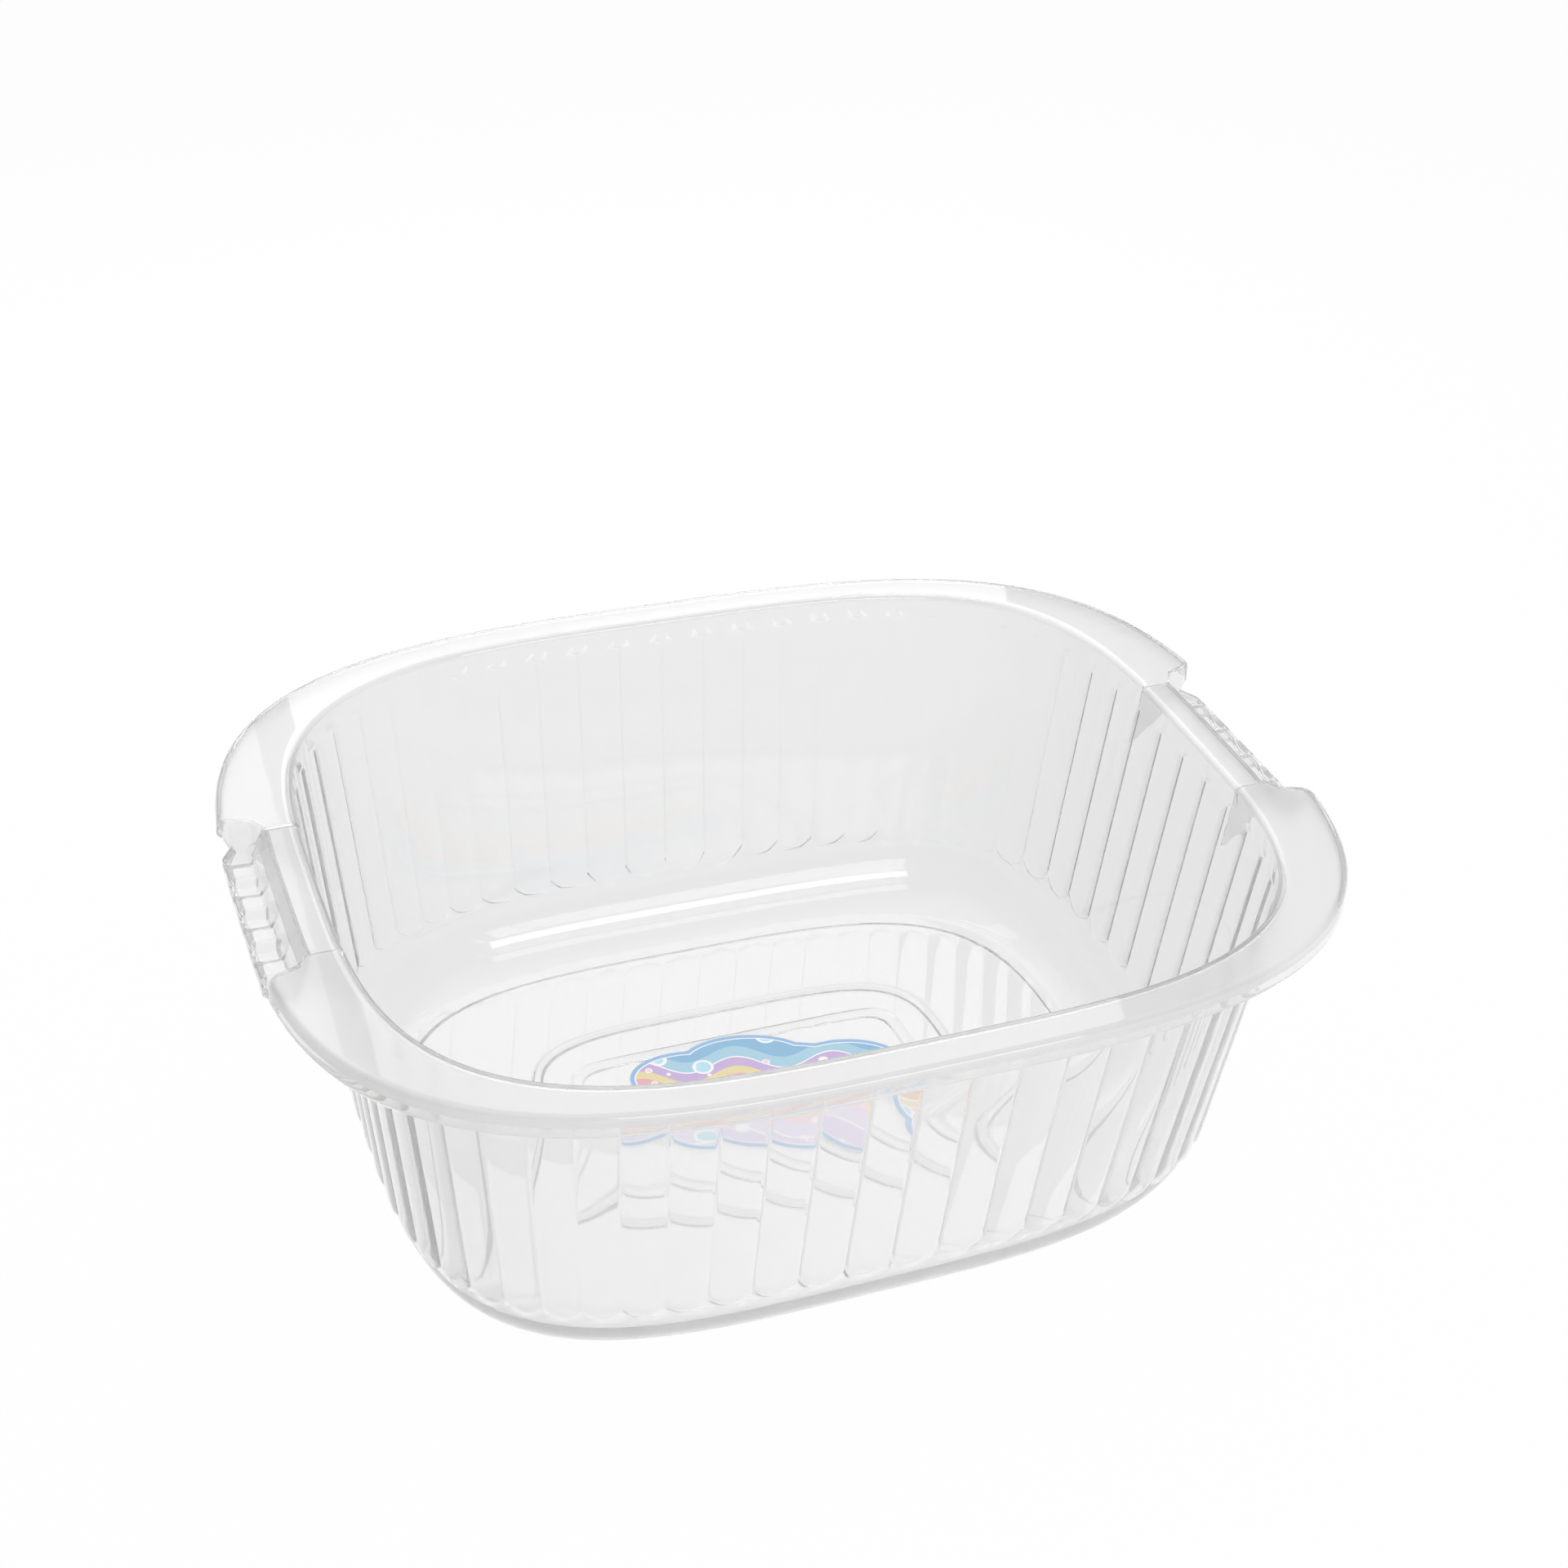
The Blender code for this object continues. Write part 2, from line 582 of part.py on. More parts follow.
def build_gusset_mesh():
    """Four thin upright webs, one under each end of each grip, from the rim
    down the outside of the wall. Each is sunk half into what it braces."""
    mesh = bmesh.new()
    top = BASIN_HEIGHT - GRIP_STRIP_DROP - RIM_THICKNESS + GUSSET_SINK
    foot = BASIN_HEIGHT - GUSSET_HEIGHT
    slope = (MOUTH_HALF_LENGTH - FOOT_HALF_LENGTH) / (BASIN_HEIGHT - FOOT_HEIGHT)
    wall = MOUTH_HALF_LENGTH + WALL_THICKNESS / 2
    profile = (
        (wall - slope * GUSSET_HEIGHT, foot),
        (wall + GUSSET_FOOT_WIDTH - slope * GUSSET_HEIGHT, foot),
        (MOUTH_HALF_LENGTH + GUSSET_REACH, BASIN_HEIGHT - GRIP_LEDGE_DROP - GUSSET_SINK),
        (MOUTH_HALF_LENGTH + GUSSET_TOP_REACH, top),
        (wall - slope * (BASIN_HEIGHT - top), top))
    start = GRIP_HALF_WIDTH + (GRIP_END_WALL + GRIP_END_DRAFT - GUSSET_THICKNESS) / 2
    for side in (1, -1):
        for end in (1, -1):
            corners = [mesh.verts.new((side * x, end * start, z)) for x, z in profile]
            face = mesh.faces.new(corners)
            grown = bmesh.ops.extrude_face_region(mesh, geom=[face])
            moved = [part for part in grown["geom"] if isinstance(part, bmesh.types.BMVert)]
            bmesh.ops.translate(mesh, verts=moved, vec=(0.0, end * GUSSET_THICKNESS, 0.0))
    bmesh.ops.recalc_face_normals(mesh, faces=mesh.faces)
    return mesh


def join_solid(part, tool):
    """Union another closed mesh into a part, and keep it as a hidden guide."""
    tool.hide_render = True
    tool.display_type = "WIRE"
    joined = part.modifiers.new("gussets", "BOOLEAN")
    joined.operation = "UNION"
    joined.solver = "EXACT"
    joined.object = tool


def main():
    for old in list(bpy.data.objects):
        bpy.data.objects.remove(old, do_unlink=True)
    clear_plastic = material("clear_moulded_plastic", (0.86, 0.87, 0.87, 1.0), 0.06)
    printed_film = material("printed_film", (0.20, 0.42, 0.72, 1.0), 0.35)
    body = add_object("basin_body", build_basin_mesh(), clear_plastic)
    gussets = add_object("gusset_guide", build_gusset_mesh(), clear_plastic)
    join_solid(body, gussets)
    add_object("floor_sticker", build_sticker_mesh(), printed_film)


main()
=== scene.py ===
import math

import bpy
import numpy as np
from mathutils import Matrix, Vector


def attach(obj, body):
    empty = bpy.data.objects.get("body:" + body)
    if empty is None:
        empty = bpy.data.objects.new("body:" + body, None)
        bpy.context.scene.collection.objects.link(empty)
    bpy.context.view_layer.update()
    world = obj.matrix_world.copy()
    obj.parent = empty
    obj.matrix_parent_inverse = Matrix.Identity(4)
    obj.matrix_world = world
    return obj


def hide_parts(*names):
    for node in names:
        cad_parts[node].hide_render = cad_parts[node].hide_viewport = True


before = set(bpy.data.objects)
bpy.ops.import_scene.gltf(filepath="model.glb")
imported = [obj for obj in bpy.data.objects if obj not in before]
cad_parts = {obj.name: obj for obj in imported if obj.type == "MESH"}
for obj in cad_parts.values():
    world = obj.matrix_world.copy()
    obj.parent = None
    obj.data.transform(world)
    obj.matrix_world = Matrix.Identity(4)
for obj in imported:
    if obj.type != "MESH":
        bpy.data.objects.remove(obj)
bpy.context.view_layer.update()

# Form of the basin in metres, as on the solid it replaces. An outline is half its length,
# half its width and how square its corners are.
BASIN_HEIGHT = 0.1535
RIM_OUTLINE = (0.210, 0.1638, 3.14)
MOUTH_OUTLINE = (0.1797, 0.1477, 3.45)
FOOT_OUTLINE = (0.1672, 0.1320, 3.6)
FLOOR_OUTLINE = (0.1469, 0.1113, 3.61)
FOOT_HEIGHT = 0.033
FLOOR_TOP_HEIGHT = 0.004
FLOOR_EDGE_RISE = 0.0025
ROUND_PULL_HEIGHT = 0.017
ROUND_WALL_SHARE = 0.17
ROUND_FLOOR_SHARE = 0.55
WALL_THICKNESS = 0.002

# The floor: its base ring, the ridge or bead round it and the border of its panel.
BASE_RING_WIDTH = 0.0035
BASE_RING_HEIGHT = 0.0015
BASE_STEP_WIDTH = 0.0018
BEAD_OUTLINE = (0.090, 0.0612, 4.5)
BEAD_WIDTH = 0.0050
BEAD_DROP = 0.0009
BEAD_RIDGE = 0.0012
PANEL_OUTLINE = (0.0735, 0.0415, 10.0)
PANEL_STEP_WIDTH = 0.0018
PANEL_RISE = 0.0009
PANEL_BAND_WIDTH = 0.0042

# Flutes outside the wall. Places across a flute lie closer together near its creases.
FLUTE_COUNT = 64
FLUTE_PLACES = (0.0, 0.04, 0.075, 0.15, 0.26, 0.38, 0.5, 0.62, 0.74, 0.85, 0.925, 0.96)
FLUTE_DEPTH = 0.00065
CREASE_DEPTH_SHARE = 0.36
CREASE_CORNER_FADE = 0.8
FLUTE_TOP_SPREAD = 0.076
FLUTE_FOOT_SPREAD = 0.139
FLUTE_TOP_DROP = 0.011
FLUTE_TOP_FADE = 0.003
FLUTE_FOOT_HEIGHT = 0.0345
FLUTE_FOOT_SAG = 0.0045
FLUTE_FOOT_ROUND = 0.0035

# The flat rim and its turned-down skirt.
MOUTH_EDGE_RADIUS = 0.0025
RIM_EDGE_RADIUS = 0.0024
RIM_THICKNESS = 0.002
SKIRT_DEPTH = 0.009
SKIRT_THICKNESS = 0.0016
SKIRT_FLARE = 0.0005
SKIRT_LIP_RADIUS = 0.0006
ROOT_RADIUS = 0.0015

# The grips. Places across a grip are distances outwards from the mouth.
GRIP_HALF_WIDTH = 0.0393
GRIP_SHOULDER_START = 0.0130
GRIP_SHOULDER_END = 0.0172
GRIP_SHOULDER_RISE = 0.0062
GRIP_OUTER_DEPTH = 0.0255
GRIP_OUTER_HALF_WIDTH = 0.0485
GRIP_CORNER_RADIUS = 0.0045
STRIP_WIDTH = 0.0128
STRIP_DROP = 0.0010
STRIP_EDGE_RADIUS = 0.0015
LEDGE_START = 0.0190
LEDGE_DROP = 0.0115
LEDGE_ROOT_RADIUS = 0.0016
LEDGE_ROOT_REACH = 0.0009
LEDGE_END = 0.0264
LIP_END = 0.0293
LIP_EDGE_RADIUS = 0.0013
LIP_DEPTH = 0.0035
LIP_INSIDE_PLACE = (0.3, 0.6)
LEDGE_END_SHARE = 0.57
GRIP_WALL = 0.0018
UNDER_SLOPE_SHIFT = 0.0014
UNDER_SLOPE_RADIUS = 0.003
UNDER_EDGE_RADIUS = 0.0008
END_WALL = 0.0018
END_DRAFT = 0.0003
END_EDGE_RADIUS = 0.0010
STRIP_END_RADIUS = 0.0004

# The finger waves: their shape along the grip, and the share of them that shows on the slope,
# round its foot, on the border outside the hollows and on the lip.
FINGER_PITCH = 0.0204
FINGER_COUNT = 4
FINGER_WAVE_DEPTH = 0.0028
FINGER_SHARES = (0.0, 0.09, 0.34, 0.66, 0.91, 1.0)
FINGER_HEIGHTS = (0.0, 0.0, 1.0, 1.0, 0.0, 0.0)
SLOPE_WAVES = (0.0, 0.15)
SLOPE_FOOT_WAVES = (0.4, 0.65, 0.85, 0.97, 1.0)
BORDER_PLACES = (0.0, 0.2, 0.38, 0.55)
BORDER_WAVES = (1.0, 0.8, 0.35, 0.05)
LIP_FACE_WAVE = 0.15
LIP_FOOT_WAVE = 0.3
LIP_INSIDE_WAVE = 0.5
UNDER_SLOPE_WAVE = 0.1

GUSSET_HEIGHT = 0.029
GUSSET_THICKNESS = 0.0012
GUSSET_REACH = 0.0170
GUSSET_TOP_REACH = 0.0116
GUSSET_FOOT_WIDTH = 0.0030
GUSSET_SINK = 0.0008

# Heights worked out from the above.
TOP = BASIN_HEIGHT
STRIP = TOP - STRIP_DROP
LEDGE = TOP - LEDGE_DROP
LIP = LEDGE - LIP_DEPTH
SKIRT = TOP - SKIRT_DEPTH

# How finely the mesh follows the form. A row runs round the basin, and a column across the rim.
# The first STRIP_ROWS rows belong to the strip of a grip. A step has an extra row CAP_MARGIN past
# each end. GUIDE_DROP only points the end of a section straight down.
OUTLINE_SAMPLES = 4001
NORMAL_STEP = 0.002
CAP_MARGIN = 0.0005
GUIDE_DROP = 0.01
SHARP_ANGLE = math.radians(38)
MOUTH_EDGE_ROWS = 7
STRIP_ROWS = 13
RIM_EDGE_ROWS = 8
SKIRT_ROWS = 2
SKIRT_LIP_ROWS = 4
UNDER_RIM_ROWS = 14
UNDER_STRIP_ROWS = 12
LAST_TOP_PART = 0.985
FINGER_STEPS = 18
PLAIN_RIM_STEPS = 84
RIM_BLEND_STEPS = 12
CORNER_STEPS = 7
CORNER_PITCH = 0.0009
END_STEPS = 5
ROUND_ROWS = 14
UNDER_STEPS = 80
INNER_WALL_ROWS = 13
BEAD_DROP_ROWS = 13
BEAD_RIDGE_ROWS = 9
STEP_PARTS = (0.0, 0.25, 0.5, 0.75, 1.0)
SCALLOP_PARTS = (0.0, 0.02, 0.08, 0.18, 0.34, 0.6, 1.0)
FLUTE_PARTS = (0.12, 0.3, 0.5, 0.7, 0.88, 1.0)
CREASE_TIP_PARTS = (0.75, 0.5, 0.28, 0.12, 0.03, 0.0)


def mix(start, end, part):
    return start + (end - start) * part


def mix_sizes(start, end, part):
    return tuple(mix(a, b, part) for a, b in zip(start, end))


def smooth(part):
    """A share that starts and ends gently."""
    return part * part * (3 - 2 * part)


def quarter_round(part):
    """Height of a quarter circle at a share of its width."""
    return math.sqrt(1 - (1 - part) ** 2)


def bezier(start, first, second, end, part):
    """A cubic Bezier curve from a start to an end, pulled by two values between them."""
    rest = 1 - part
    return (start * rest ** 3 + 3 * first * rest ** 2 * part
            + 3 * second * rest * part ** 2 + end * part ** 3)


def deselect():
    bpy.ops.object.select_all(action="DESELECT")


def unite(body, other):
    """Joins another object to a body with a Boolean union, and removes it."""
    deselect()
    body.select_set(True)
    bpy.context.view_layer.objects.active = body
    join = body.modifiers.new("join", "BOOLEAN")
    join.operation = "UNION"
    join.solver = "EXACT"
    join.object = other
    bpy.ops.object.modifier_apply(modifier=join.name)
    bpy.data.objects.remove(other)


# Outlines of the basin in plan.

def outline(size, offset=0.0):
    """A quarter outline from +X to +Y as x, y and share of its length."""
    half_length, half_width, squareness = size
    angle = np.linspace(0.0, math.pi / 2, OUTLINE_SAMPLES)
    across = np.abs(np.cos(angle)) / (half_length + offset)
    along = np.abs(np.sin(angle)) / (half_width + offset)
    radius = (across ** squareness + along ** squareness) ** (-1 / squareness)
    x, y = radius * np.cos(angle), radius * np.sin(angle)
    x[-1] = 0.0
    run = np.concatenate(([0.0], np.cumsum(np.hypot(np.diff(x), np.diff(y)))))
    return x, y, run / run[-1]


def on_outline(curve, shares):
    """Places at shares of a quarter outline's length."""
    x, y, run = curve
    return np.interp(shares, run, x), np.interp(shares, run, y)


def outline_normal(curve, share):
    """Outward unit normal at a share of the quarter."""
    if share <= 0.0:
        return (1.0, 0.0)
    if share >= 1.0:
        return (0.0, 1.0)
    x0, y0 = on_outline(curve, max(share - NORMAL_STEP, 0.0))
    x1, y1 = on_outline(curve, min(share + NORMAL_STEP, 1.0))
    length = math.hypot(x1 - x0, y1 - y0)
    return ((y1 - y0) / length, (x0 - x1) / length)


def share_at_y(curve, y):
    """Share of a quarter outline's length at which it reaches a distance from the X axis."""
    return float(np.interp(y, curve[1], curve[2]))


def wall_size(height):
    """Outline of the wall's inside at a height."""
    part = (BASIN_HEIGHT - height) / (BASIN_HEIGHT - FOOT_HEIGHT)
    return mix_sizes(MOUTH_OUTLINE, FOOT_OUTLINE, part)


def round_section(part, floor_height):
    """Plan size and height on the round between the wall and the floor."""
    inward = bezier(0.0, ROUND_WALL_SHARE, ROUND_FLOOR_SHARE, 1.0, part)
    height = bezier(FOOT_HEIGHT, ROUND_PULL_HEIGHT, floor_height + FLOOR_EDGE_RISE,
                    floor_height, part)
    return mix_sizes(FOOT_OUTLINE, FLOOR_OUTLINE, inward), height


class Shell:
    """Rings of points stacked into a closed surface."""

    def __init__(self):
        self.points = []
        self.faces = []
        self.count = 0
        self.last = None
        self.frosted = []

    def ring(self, quarter, shares):
        """A ring from quarter points that run from +X to +Y, mirrored to the other quarters.
        A point's turn is its share of its quarter, plus one for each quarter before it."""
        quarter = np.asarray(quarter, dtype=float)
        flip_x = np.array((-1.0, 1.0, 1.0))
        flip_y = np.array((1.0, -1.0, 1.0))
        points = np.concatenate((
            quarter, quarter[:-1][::-1] * flip_x,
            quarter[1:] * flip_x * flip_y, quarter[1:-1][::-1] * flip_y))
        shares = np.asarray(shares, dtype=float)
        turn = np.concatenate((shares, 2 - shares[:-1][::-1], 2 + shares[1:],
                               4 - shares[1:-1][::-1]))
        ids = np.arange(self.count, self.count + len(points))
        self.points.append(points)
        self.count += len(points)
        if self.last is not None:
            self.bridge(self.last, (ids, turn))
        self.last = (ids, turn)
        return ids

    def bridge(self, lower, upper):
        """Faces between two rings, in quads if they have as many points, or else triangles."""
        low_ids, low_turn = lower
        high_ids, high_turn = upper
        if len(low_ids) == len(high_ids):
            low_next = np.roll(low_ids, -1)
            high_next = np.roll(high_ids, -1)
            self.faces += np.stack((low_ids, low_next, high_next, high_ids), 1).tolist()
            return
        low_count, high_count = len(low_ids), len(high_ids)
        low = high = 0
        while low < low_count or high < high_count:
            low_at = (low_turn[(low + 1) % low_count] + 4 * (low + 1 >= low_count)
                      if low < low_count else math.inf)
            high_at = (high_turn[(high + 1) % high_count] + 4 * (high + 1 >= high_count)
                       if high < high_count else math.inf)
            here = (int(low_ids[low % low_count]), int(high_ids[high % high_count]))
            if low_at <= high_at:
                low += 1
                self.faces.append([here[0], int(low_ids[low % low_count]), here[1]])
            else:
                high += 1
                self.faces.append([here[0], int(high_ids[high % high_count]), here[1]])

    def flat_rings(self, rows, shares):
        """Level rings, each from an outline, how far outside it the ring lies and a height."""
        made = []
        for size, offset, height in rows:
            x, y = on_outline(outline(size, offset), shares)
            made.append(self.ring(np.stack((x, y, np.full_like(x, height)), 1), shares))
        return made

    def cap(self, ids):
        self.faces.append([int(i) for i in ids])


# The rim and its grips.

def arc(start, corner, end, radius, count):
    """Points of a fillet at a corner of a section."""
    start, corner, end = (np.array(p, dtype=float) for p in (start, corner, end))
    before = (start - corner) / np.linalg.norm(start - corner)
    after = (end - corner) / np.linalg.norm(end - corner)
    turn = math.pi - math.acos(float(np.clip(before @ after, -1, 1)))
    reach = radius * math.tan(turn / 2)
    first, last = corner + before * reach, corner + after * reach
    weight = math.cos(turn / 2)
    points = []
    for step in range(count):
        t = step / (count - 1)
        a, b, c = (1 - t) ** 2, 2 * weight * t * (1 - t), t ** 2
        points.append(tuple((a * first + b * corner + c * last) / (a + b + c)))
    return points


def line(start, end, count):
    """Points between two points of a section, without its ends."""
    return [tuple(mix(np.array(start), np.array(end), (step + 1) / (count + 1)))
            for step in range(count)]


def waved(points, *waves):
    """Rows from points of a section, with one share of the finger wave for all or for each."""
    if len(waves) == 1:
        waves = waves * len(points)
    return [(distance, height, wave) for (distance, height), wave in zip(points, waves)]


def grip_over():
    """Rows over a grip, from the mouth edge outwards and down its lip."""
    strip_edge = (STRIP_WIDTH, STRIP)
    slope_foot = (LEDGE_START, LEDGE)
    rows = waved(arc((0, STRIP - GUIDE_DROP), (0, STRIP), strip_edge,
                     MOUTH_EDGE_RADIUS, MOUTH_EDGE_ROWS), 0.0)
    rows += waved(line((MOUTH_EDGE_RADIUS, STRIP), (STRIP_WIDTH - STRIP_EDGE_RADIUS, STRIP),
                       count=3), 0.0)
    rows += waved(arc((0, STRIP), strip_edge, slope_foot, STRIP_EDGE_RADIUS, count=6), 0.0)
    # The middle two of four points on the slope, clear of the fillets at its ends.
    rows += waved(line(strip_edge, slope_foot, count=4)[1:3], *SLOPE_WAVES)
    rows += waved(arc(strip_edge, slope_foot, (LEDGE_END, LEDGE), LEDGE_ROOT_RADIUS, count=5),
                  *SLOPE_FOOT_WAVES)
    rows += waved(line((LEDGE_START + LEDGE_ROOT_REACH, LEDGE), (LEDGE_END, LEDGE), count=3),
                  1.0)
    # The straight border outside the finger hollows, and the lip below it.
    rows += waved([(mix(LEDGE_END, LIP_END, part), LEDGE) for part in BORDER_PLACES],
                  *BORDER_WAVES)
    rows += waved(arc((LEDGE_END, LEDGE), (LIP_END, LEDGE), (LIP_END, LIP),
                      LIP_EDGE_RADIUS, count=5)[1:], 0.0)
    rows += waved(line((LIP_END, LEDGE - LIP_EDGE_RADIUS), (LIP_END, LIP), SKIRT_ROWS),
                  LIP_FACE_WAVE)
    return rows


def grip_under():
    """Rows under a grip, from the lower edge of its lip back to the wall."""
    inner = LIP_END - SKIRT_THICKNESS
    under = LEDGE - GRIP_WALL
    below = STRIP - RIM_THICKNESS
    slope_foot = (LEDGE_START - UNDER_SLOPE_SHIFT, under)
    slope_top = (STRIP_WIDTH - UNDER_SLOPE_SHIFT, below)
    rows = waved(arc((LIP_END, LEDGE), (LIP_END, LIP), (inner, LIP),
                     SKIRT_LIP_RADIUS, SKIRT_LIP_ROWS), LIP_FOOT_WAVE)
    rows += waved(arc((LIP_END, LIP), (inner, LIP), (inner, LEDGE),
                      SKIRT_LIP_RADIUS, SKIRT_LIP_ROWS), LIP_FOOT_WAVE)
    inwards, upwards = LIP_INSIDE_PLACE
    rows += [(mix(inner, LEDGE_END, inwards), mix(LIP, under, upwards), LIP_INSIDE_WAVE)]
    rows += waved(arc((inner, LIP), (LEDGE_END, under), (LEDGE_START, under),
                      UNDER_EDGE_RADIUS, count=4), 1.0)
    rows += waved(line((LEDGE_END, under), slope_foot, count=2), 1.0)
    rows += waved(arc((LEDGE_END, under), slope_foot, slope_top, UNDER_SLOPE_RADIUS, count=5),
                  *reversed(SLOPE_FOOT_WAVES))
    rows += waved(line(slope_foot, slope_top, count=1), UNDER_SLOPE_WAVE)
    rows += waved(arc(slope_foot, slope_top, (0, below), UNDER_EDGE_RADIUS, count=4), 0.0)
    rows += waved(line(slope_top, (WALL_THICKNESS, below), count=2), 0.0)
    rows += waved(arc(slope_top, (WALL_THICKNESS, below), (WALL_THICKNESS, below - GUIDE_DROP),
                      ROOT_RADIUS, count=5), 0.0)
    return rows


# Rows of a grip, each with a distance from the mouth, a height and a share of the finger wave.
GRIP_ROWS = grip_over() + grip_under()
OVER_COUNT = len(grip_over())
# The flat top of the plain rim has these rows' places, stretched to its own width.
PLAIN_TOP_ROWS = GRIP_ROWS[MOUTH_EDGE_ROWS:OVER_COUNT - RIM_EDGE_ROWS - SKIRT_ROWS]


def plain_section(length):
    """The rim's section away from a grip, with as many rows as the grip's."""
    reach = length - SKIRT_FLARE
    rows = arc((0, TOP - GUIDE_DROP), (0, TOP), (length, TOP), MOUTH_EDGE_RADIUS, MOUTH_EDGE_ROWS)
    start, end = MOUTH_EDGE_RADIUS, reach - RIM_EDGE_RADIUS
    grip_end_at = GRIP_OUTER_DEPTH - SKIRT_FLARE - RIM_EDGE_RADIUS
    for distance, height, wave in PLAIN_TOP_ROWS:
        part = (distance - start) / (grip_end_at - start)
        rows.append((mix(start, end, min(part, LAST_TOP_PART)), TOP))
    rows += arc((0, TOP), (reach, TOP), (length, SKIRT), RIM_EDGE_RADIUS, RIM_EDGE_ROWS)
    rows += line((reach, TOP - RIM_EDGE_RADIUS), (length, SKIRT), SKIRT_ROWS)
    inner = length - SKIRT_THICKNESS
    root = reach - SKIRT_THICKNESS
    below = TOP - RIM_THICKNESS
    rows += arc((reach, TOP), (length, SKIRT), (inner, SKIRT), SKIRT_LIP_RADIUS, SKIRT_LIP_ROWS)
    rows += arc((length, SKIRT), (inner, SKIRT), (root, below), SKIRT_LIP_RADIUS, SKIRT_LIP_ROWS)
    rows += line((inner, SKIRT), (root, below), count=1)
    rows += arc((inner, SKIRT), (root, below), (0, below), ROOT_RADIUS, count=4)
    rows += line((root - ROOT_RADIUS, below), (WALL_THICKNESS + ROOT_RADIUS, below),
                 UNDER_RIM_ROWS)
    rows += arc((root, below), (WALL_THICKNESS, below), (WALL_THICKNESS, below - GUIDE_DROP),
                ROOT_RADIUS, count=5)
    return rows


def grip_end(distance):
    """Half the width of the grip's opening at a distance out from the mouth."""
    part = (distance - GRIP_SHOULDER_START) / (GRIP_SHOULDER_END - GRIP_SHOULDER_START)
    width = GRIP_HALF_WIDTH + GRIP_SHOULDER_RISE * smooth(min(max(part, 0.0), 1.0))
    beyond = (distance - GRIP_SHOULDER_END) / (GRIP_OUTER_DEPTH - GRIP_SHOULDER_END)
    beyond = min(max(beyond, 0.0), 1.0)
    return width + (GRIP_OUTER_HALF_WIDTH - GRIP_HALF_WIDTH - GRIP_SHOULDER_RISE) * beyond


def finger_height(y):
    """Height share of the finger waves at a place along the grip."""
    place = abs(y) / FINGER_PITCH
    if place >= FINGER_COUNT / 2:
        return 0.0
    place -= math.floor(place)
    for index in range(len(FINGER_SHARES) - 1):
        if place <= FINGER_SHARES[index + 1]:
            part = (place - FINGER_SHARES[index]) / (
                FINGER_SHARES[index + 1] - FINGER_SHARES[index])
            return mix(FINGER_HEIGHTS[index], FINGER_HEIGHTS[index + 1], smooth(part))
    return 0.0


def rim_columns(mouth):
    """Columns of a quarter of the rim as share of the mouth, kind and place. They go from the
    grip's middle over its last one and its end wall to the corner beside it and the plain rim."""
    columns = []
    spread = grip_end(LEDGE_START) / GRIP_HALF_WIDTH
    steps = FINGER_STEPS * FINGER_COUNT // 2
    for step in range(steps + 1):
        place = step / FINGER_STEPS * FINGER_PITCH / spread
        columns.append((share_at_y(mouth, place), "grip", place))
    columns.append((share_at_y(mouth, GRIP_HALF_WIDTH), "last", GRIP_HALF_WIDTH))
    wall = GRIP_HALF_WIDTH + END_DRAFT
    for step in range(END_STEPS):
        angle = math.pi / 2 * step / (END_STEPS - 1)
        past = END_EDGE_RADIUS * (1 - math.cos(angle))
        columns.append((share_at_y(mouth, wall + past), "end", past))
    columns.append((share_at_y(mouth, wall + END_WALL - END_DRAFT), "end",
                    END_WALL - END_DRAFT))
    for step in range(CORNER_STEPS):
        past = mix(END_WALL, GRIP_CORNER_RADIUS, step / (CORNER_STEPS - 1))
        place = wall + END_WALL + CORNER_PITCH * step
        columns.append((share_at_y(mouth, place), "corner", past))
    start = columns[-1][0]
    for step in range(PLAIN_RIM_STEPS):
        part = (step + 1) / PLAIN_RIM_STEPS
        columns.append((mix(start, 1.0, part), "plain", part))
    return columns


def column_plan(mouth, outer, share, kind, place):
    """A column in plan: its ends, its directions there and how much it follows the grip."""
    wall_y = GRIP_OUTER_HALF_WIDTH + END_DRAFT
    corner_share = share_at_y(outer, wall_y + GRIP_CORNER_RADIUS)
    corner_x = float(on_outline(outer, corner_share)[0]) - GRIP_CORNER_RADIUS
    start = np.array([float(v) for v in on_outline(mouth, share)])
    weight = 1.0
    if kind == "plain":
        end_share = mix(corner_share, 1.0, place)
        end = np.array([float(v) for v in on_outline(outer, end_share)])
        weight = smooth(max(0.0, 1 - place * PLAIN_RIM_STEPS / RIM_BLEND_STEPS))
    elif kind in ("corner", "end"):
        rest = GRIP_CORNER_RADIUS - place
        end = np.array((corner_x + math.sqrt(GRIP_CORNER_RADIUS ** 2 - rest ** 2),
                        wall_y + place))
    else:
        end = np.array((corner_x, GRIP_OUTER_HALF_WIDTH))
    straight = (end - start) / float(np.linalg.norm(end - start))
    first = np.array(outline_normal(mouth, share))
    last = np.array(outline_normal(outer, end_share)) if kind == "plain" else straight
    first = first * (1 - weight) + straight * weight
    last = last * (1 - weight) + straight * weight
    return start, end, first / np.linalg.norm(first), last / np.linalg.norm(last), weight


def plain_point(plan, length, distance):
    """A point of a column in plan beside a grip, on a curve between the column's ends."""
    start, end, first, last, weight = plan
    t = distance / length
    at = ((2 * t ** 3 - 3 * t ** 2 + 1) * start + (t ** 3 - 2 * t ** 2 + t) * first * length
          + (3 * t ** 2 - 2 * t ** 3) * end + (t ** 3 - t ** 2) * last * length)
    line_y = mix(GRIP_HALF_WIDTH, GRIP_OUTER_HALF_WIDTH, t)
    return at + np.array((0.0, weight * (grip_end(at[0] - start[0]) - line_y)))


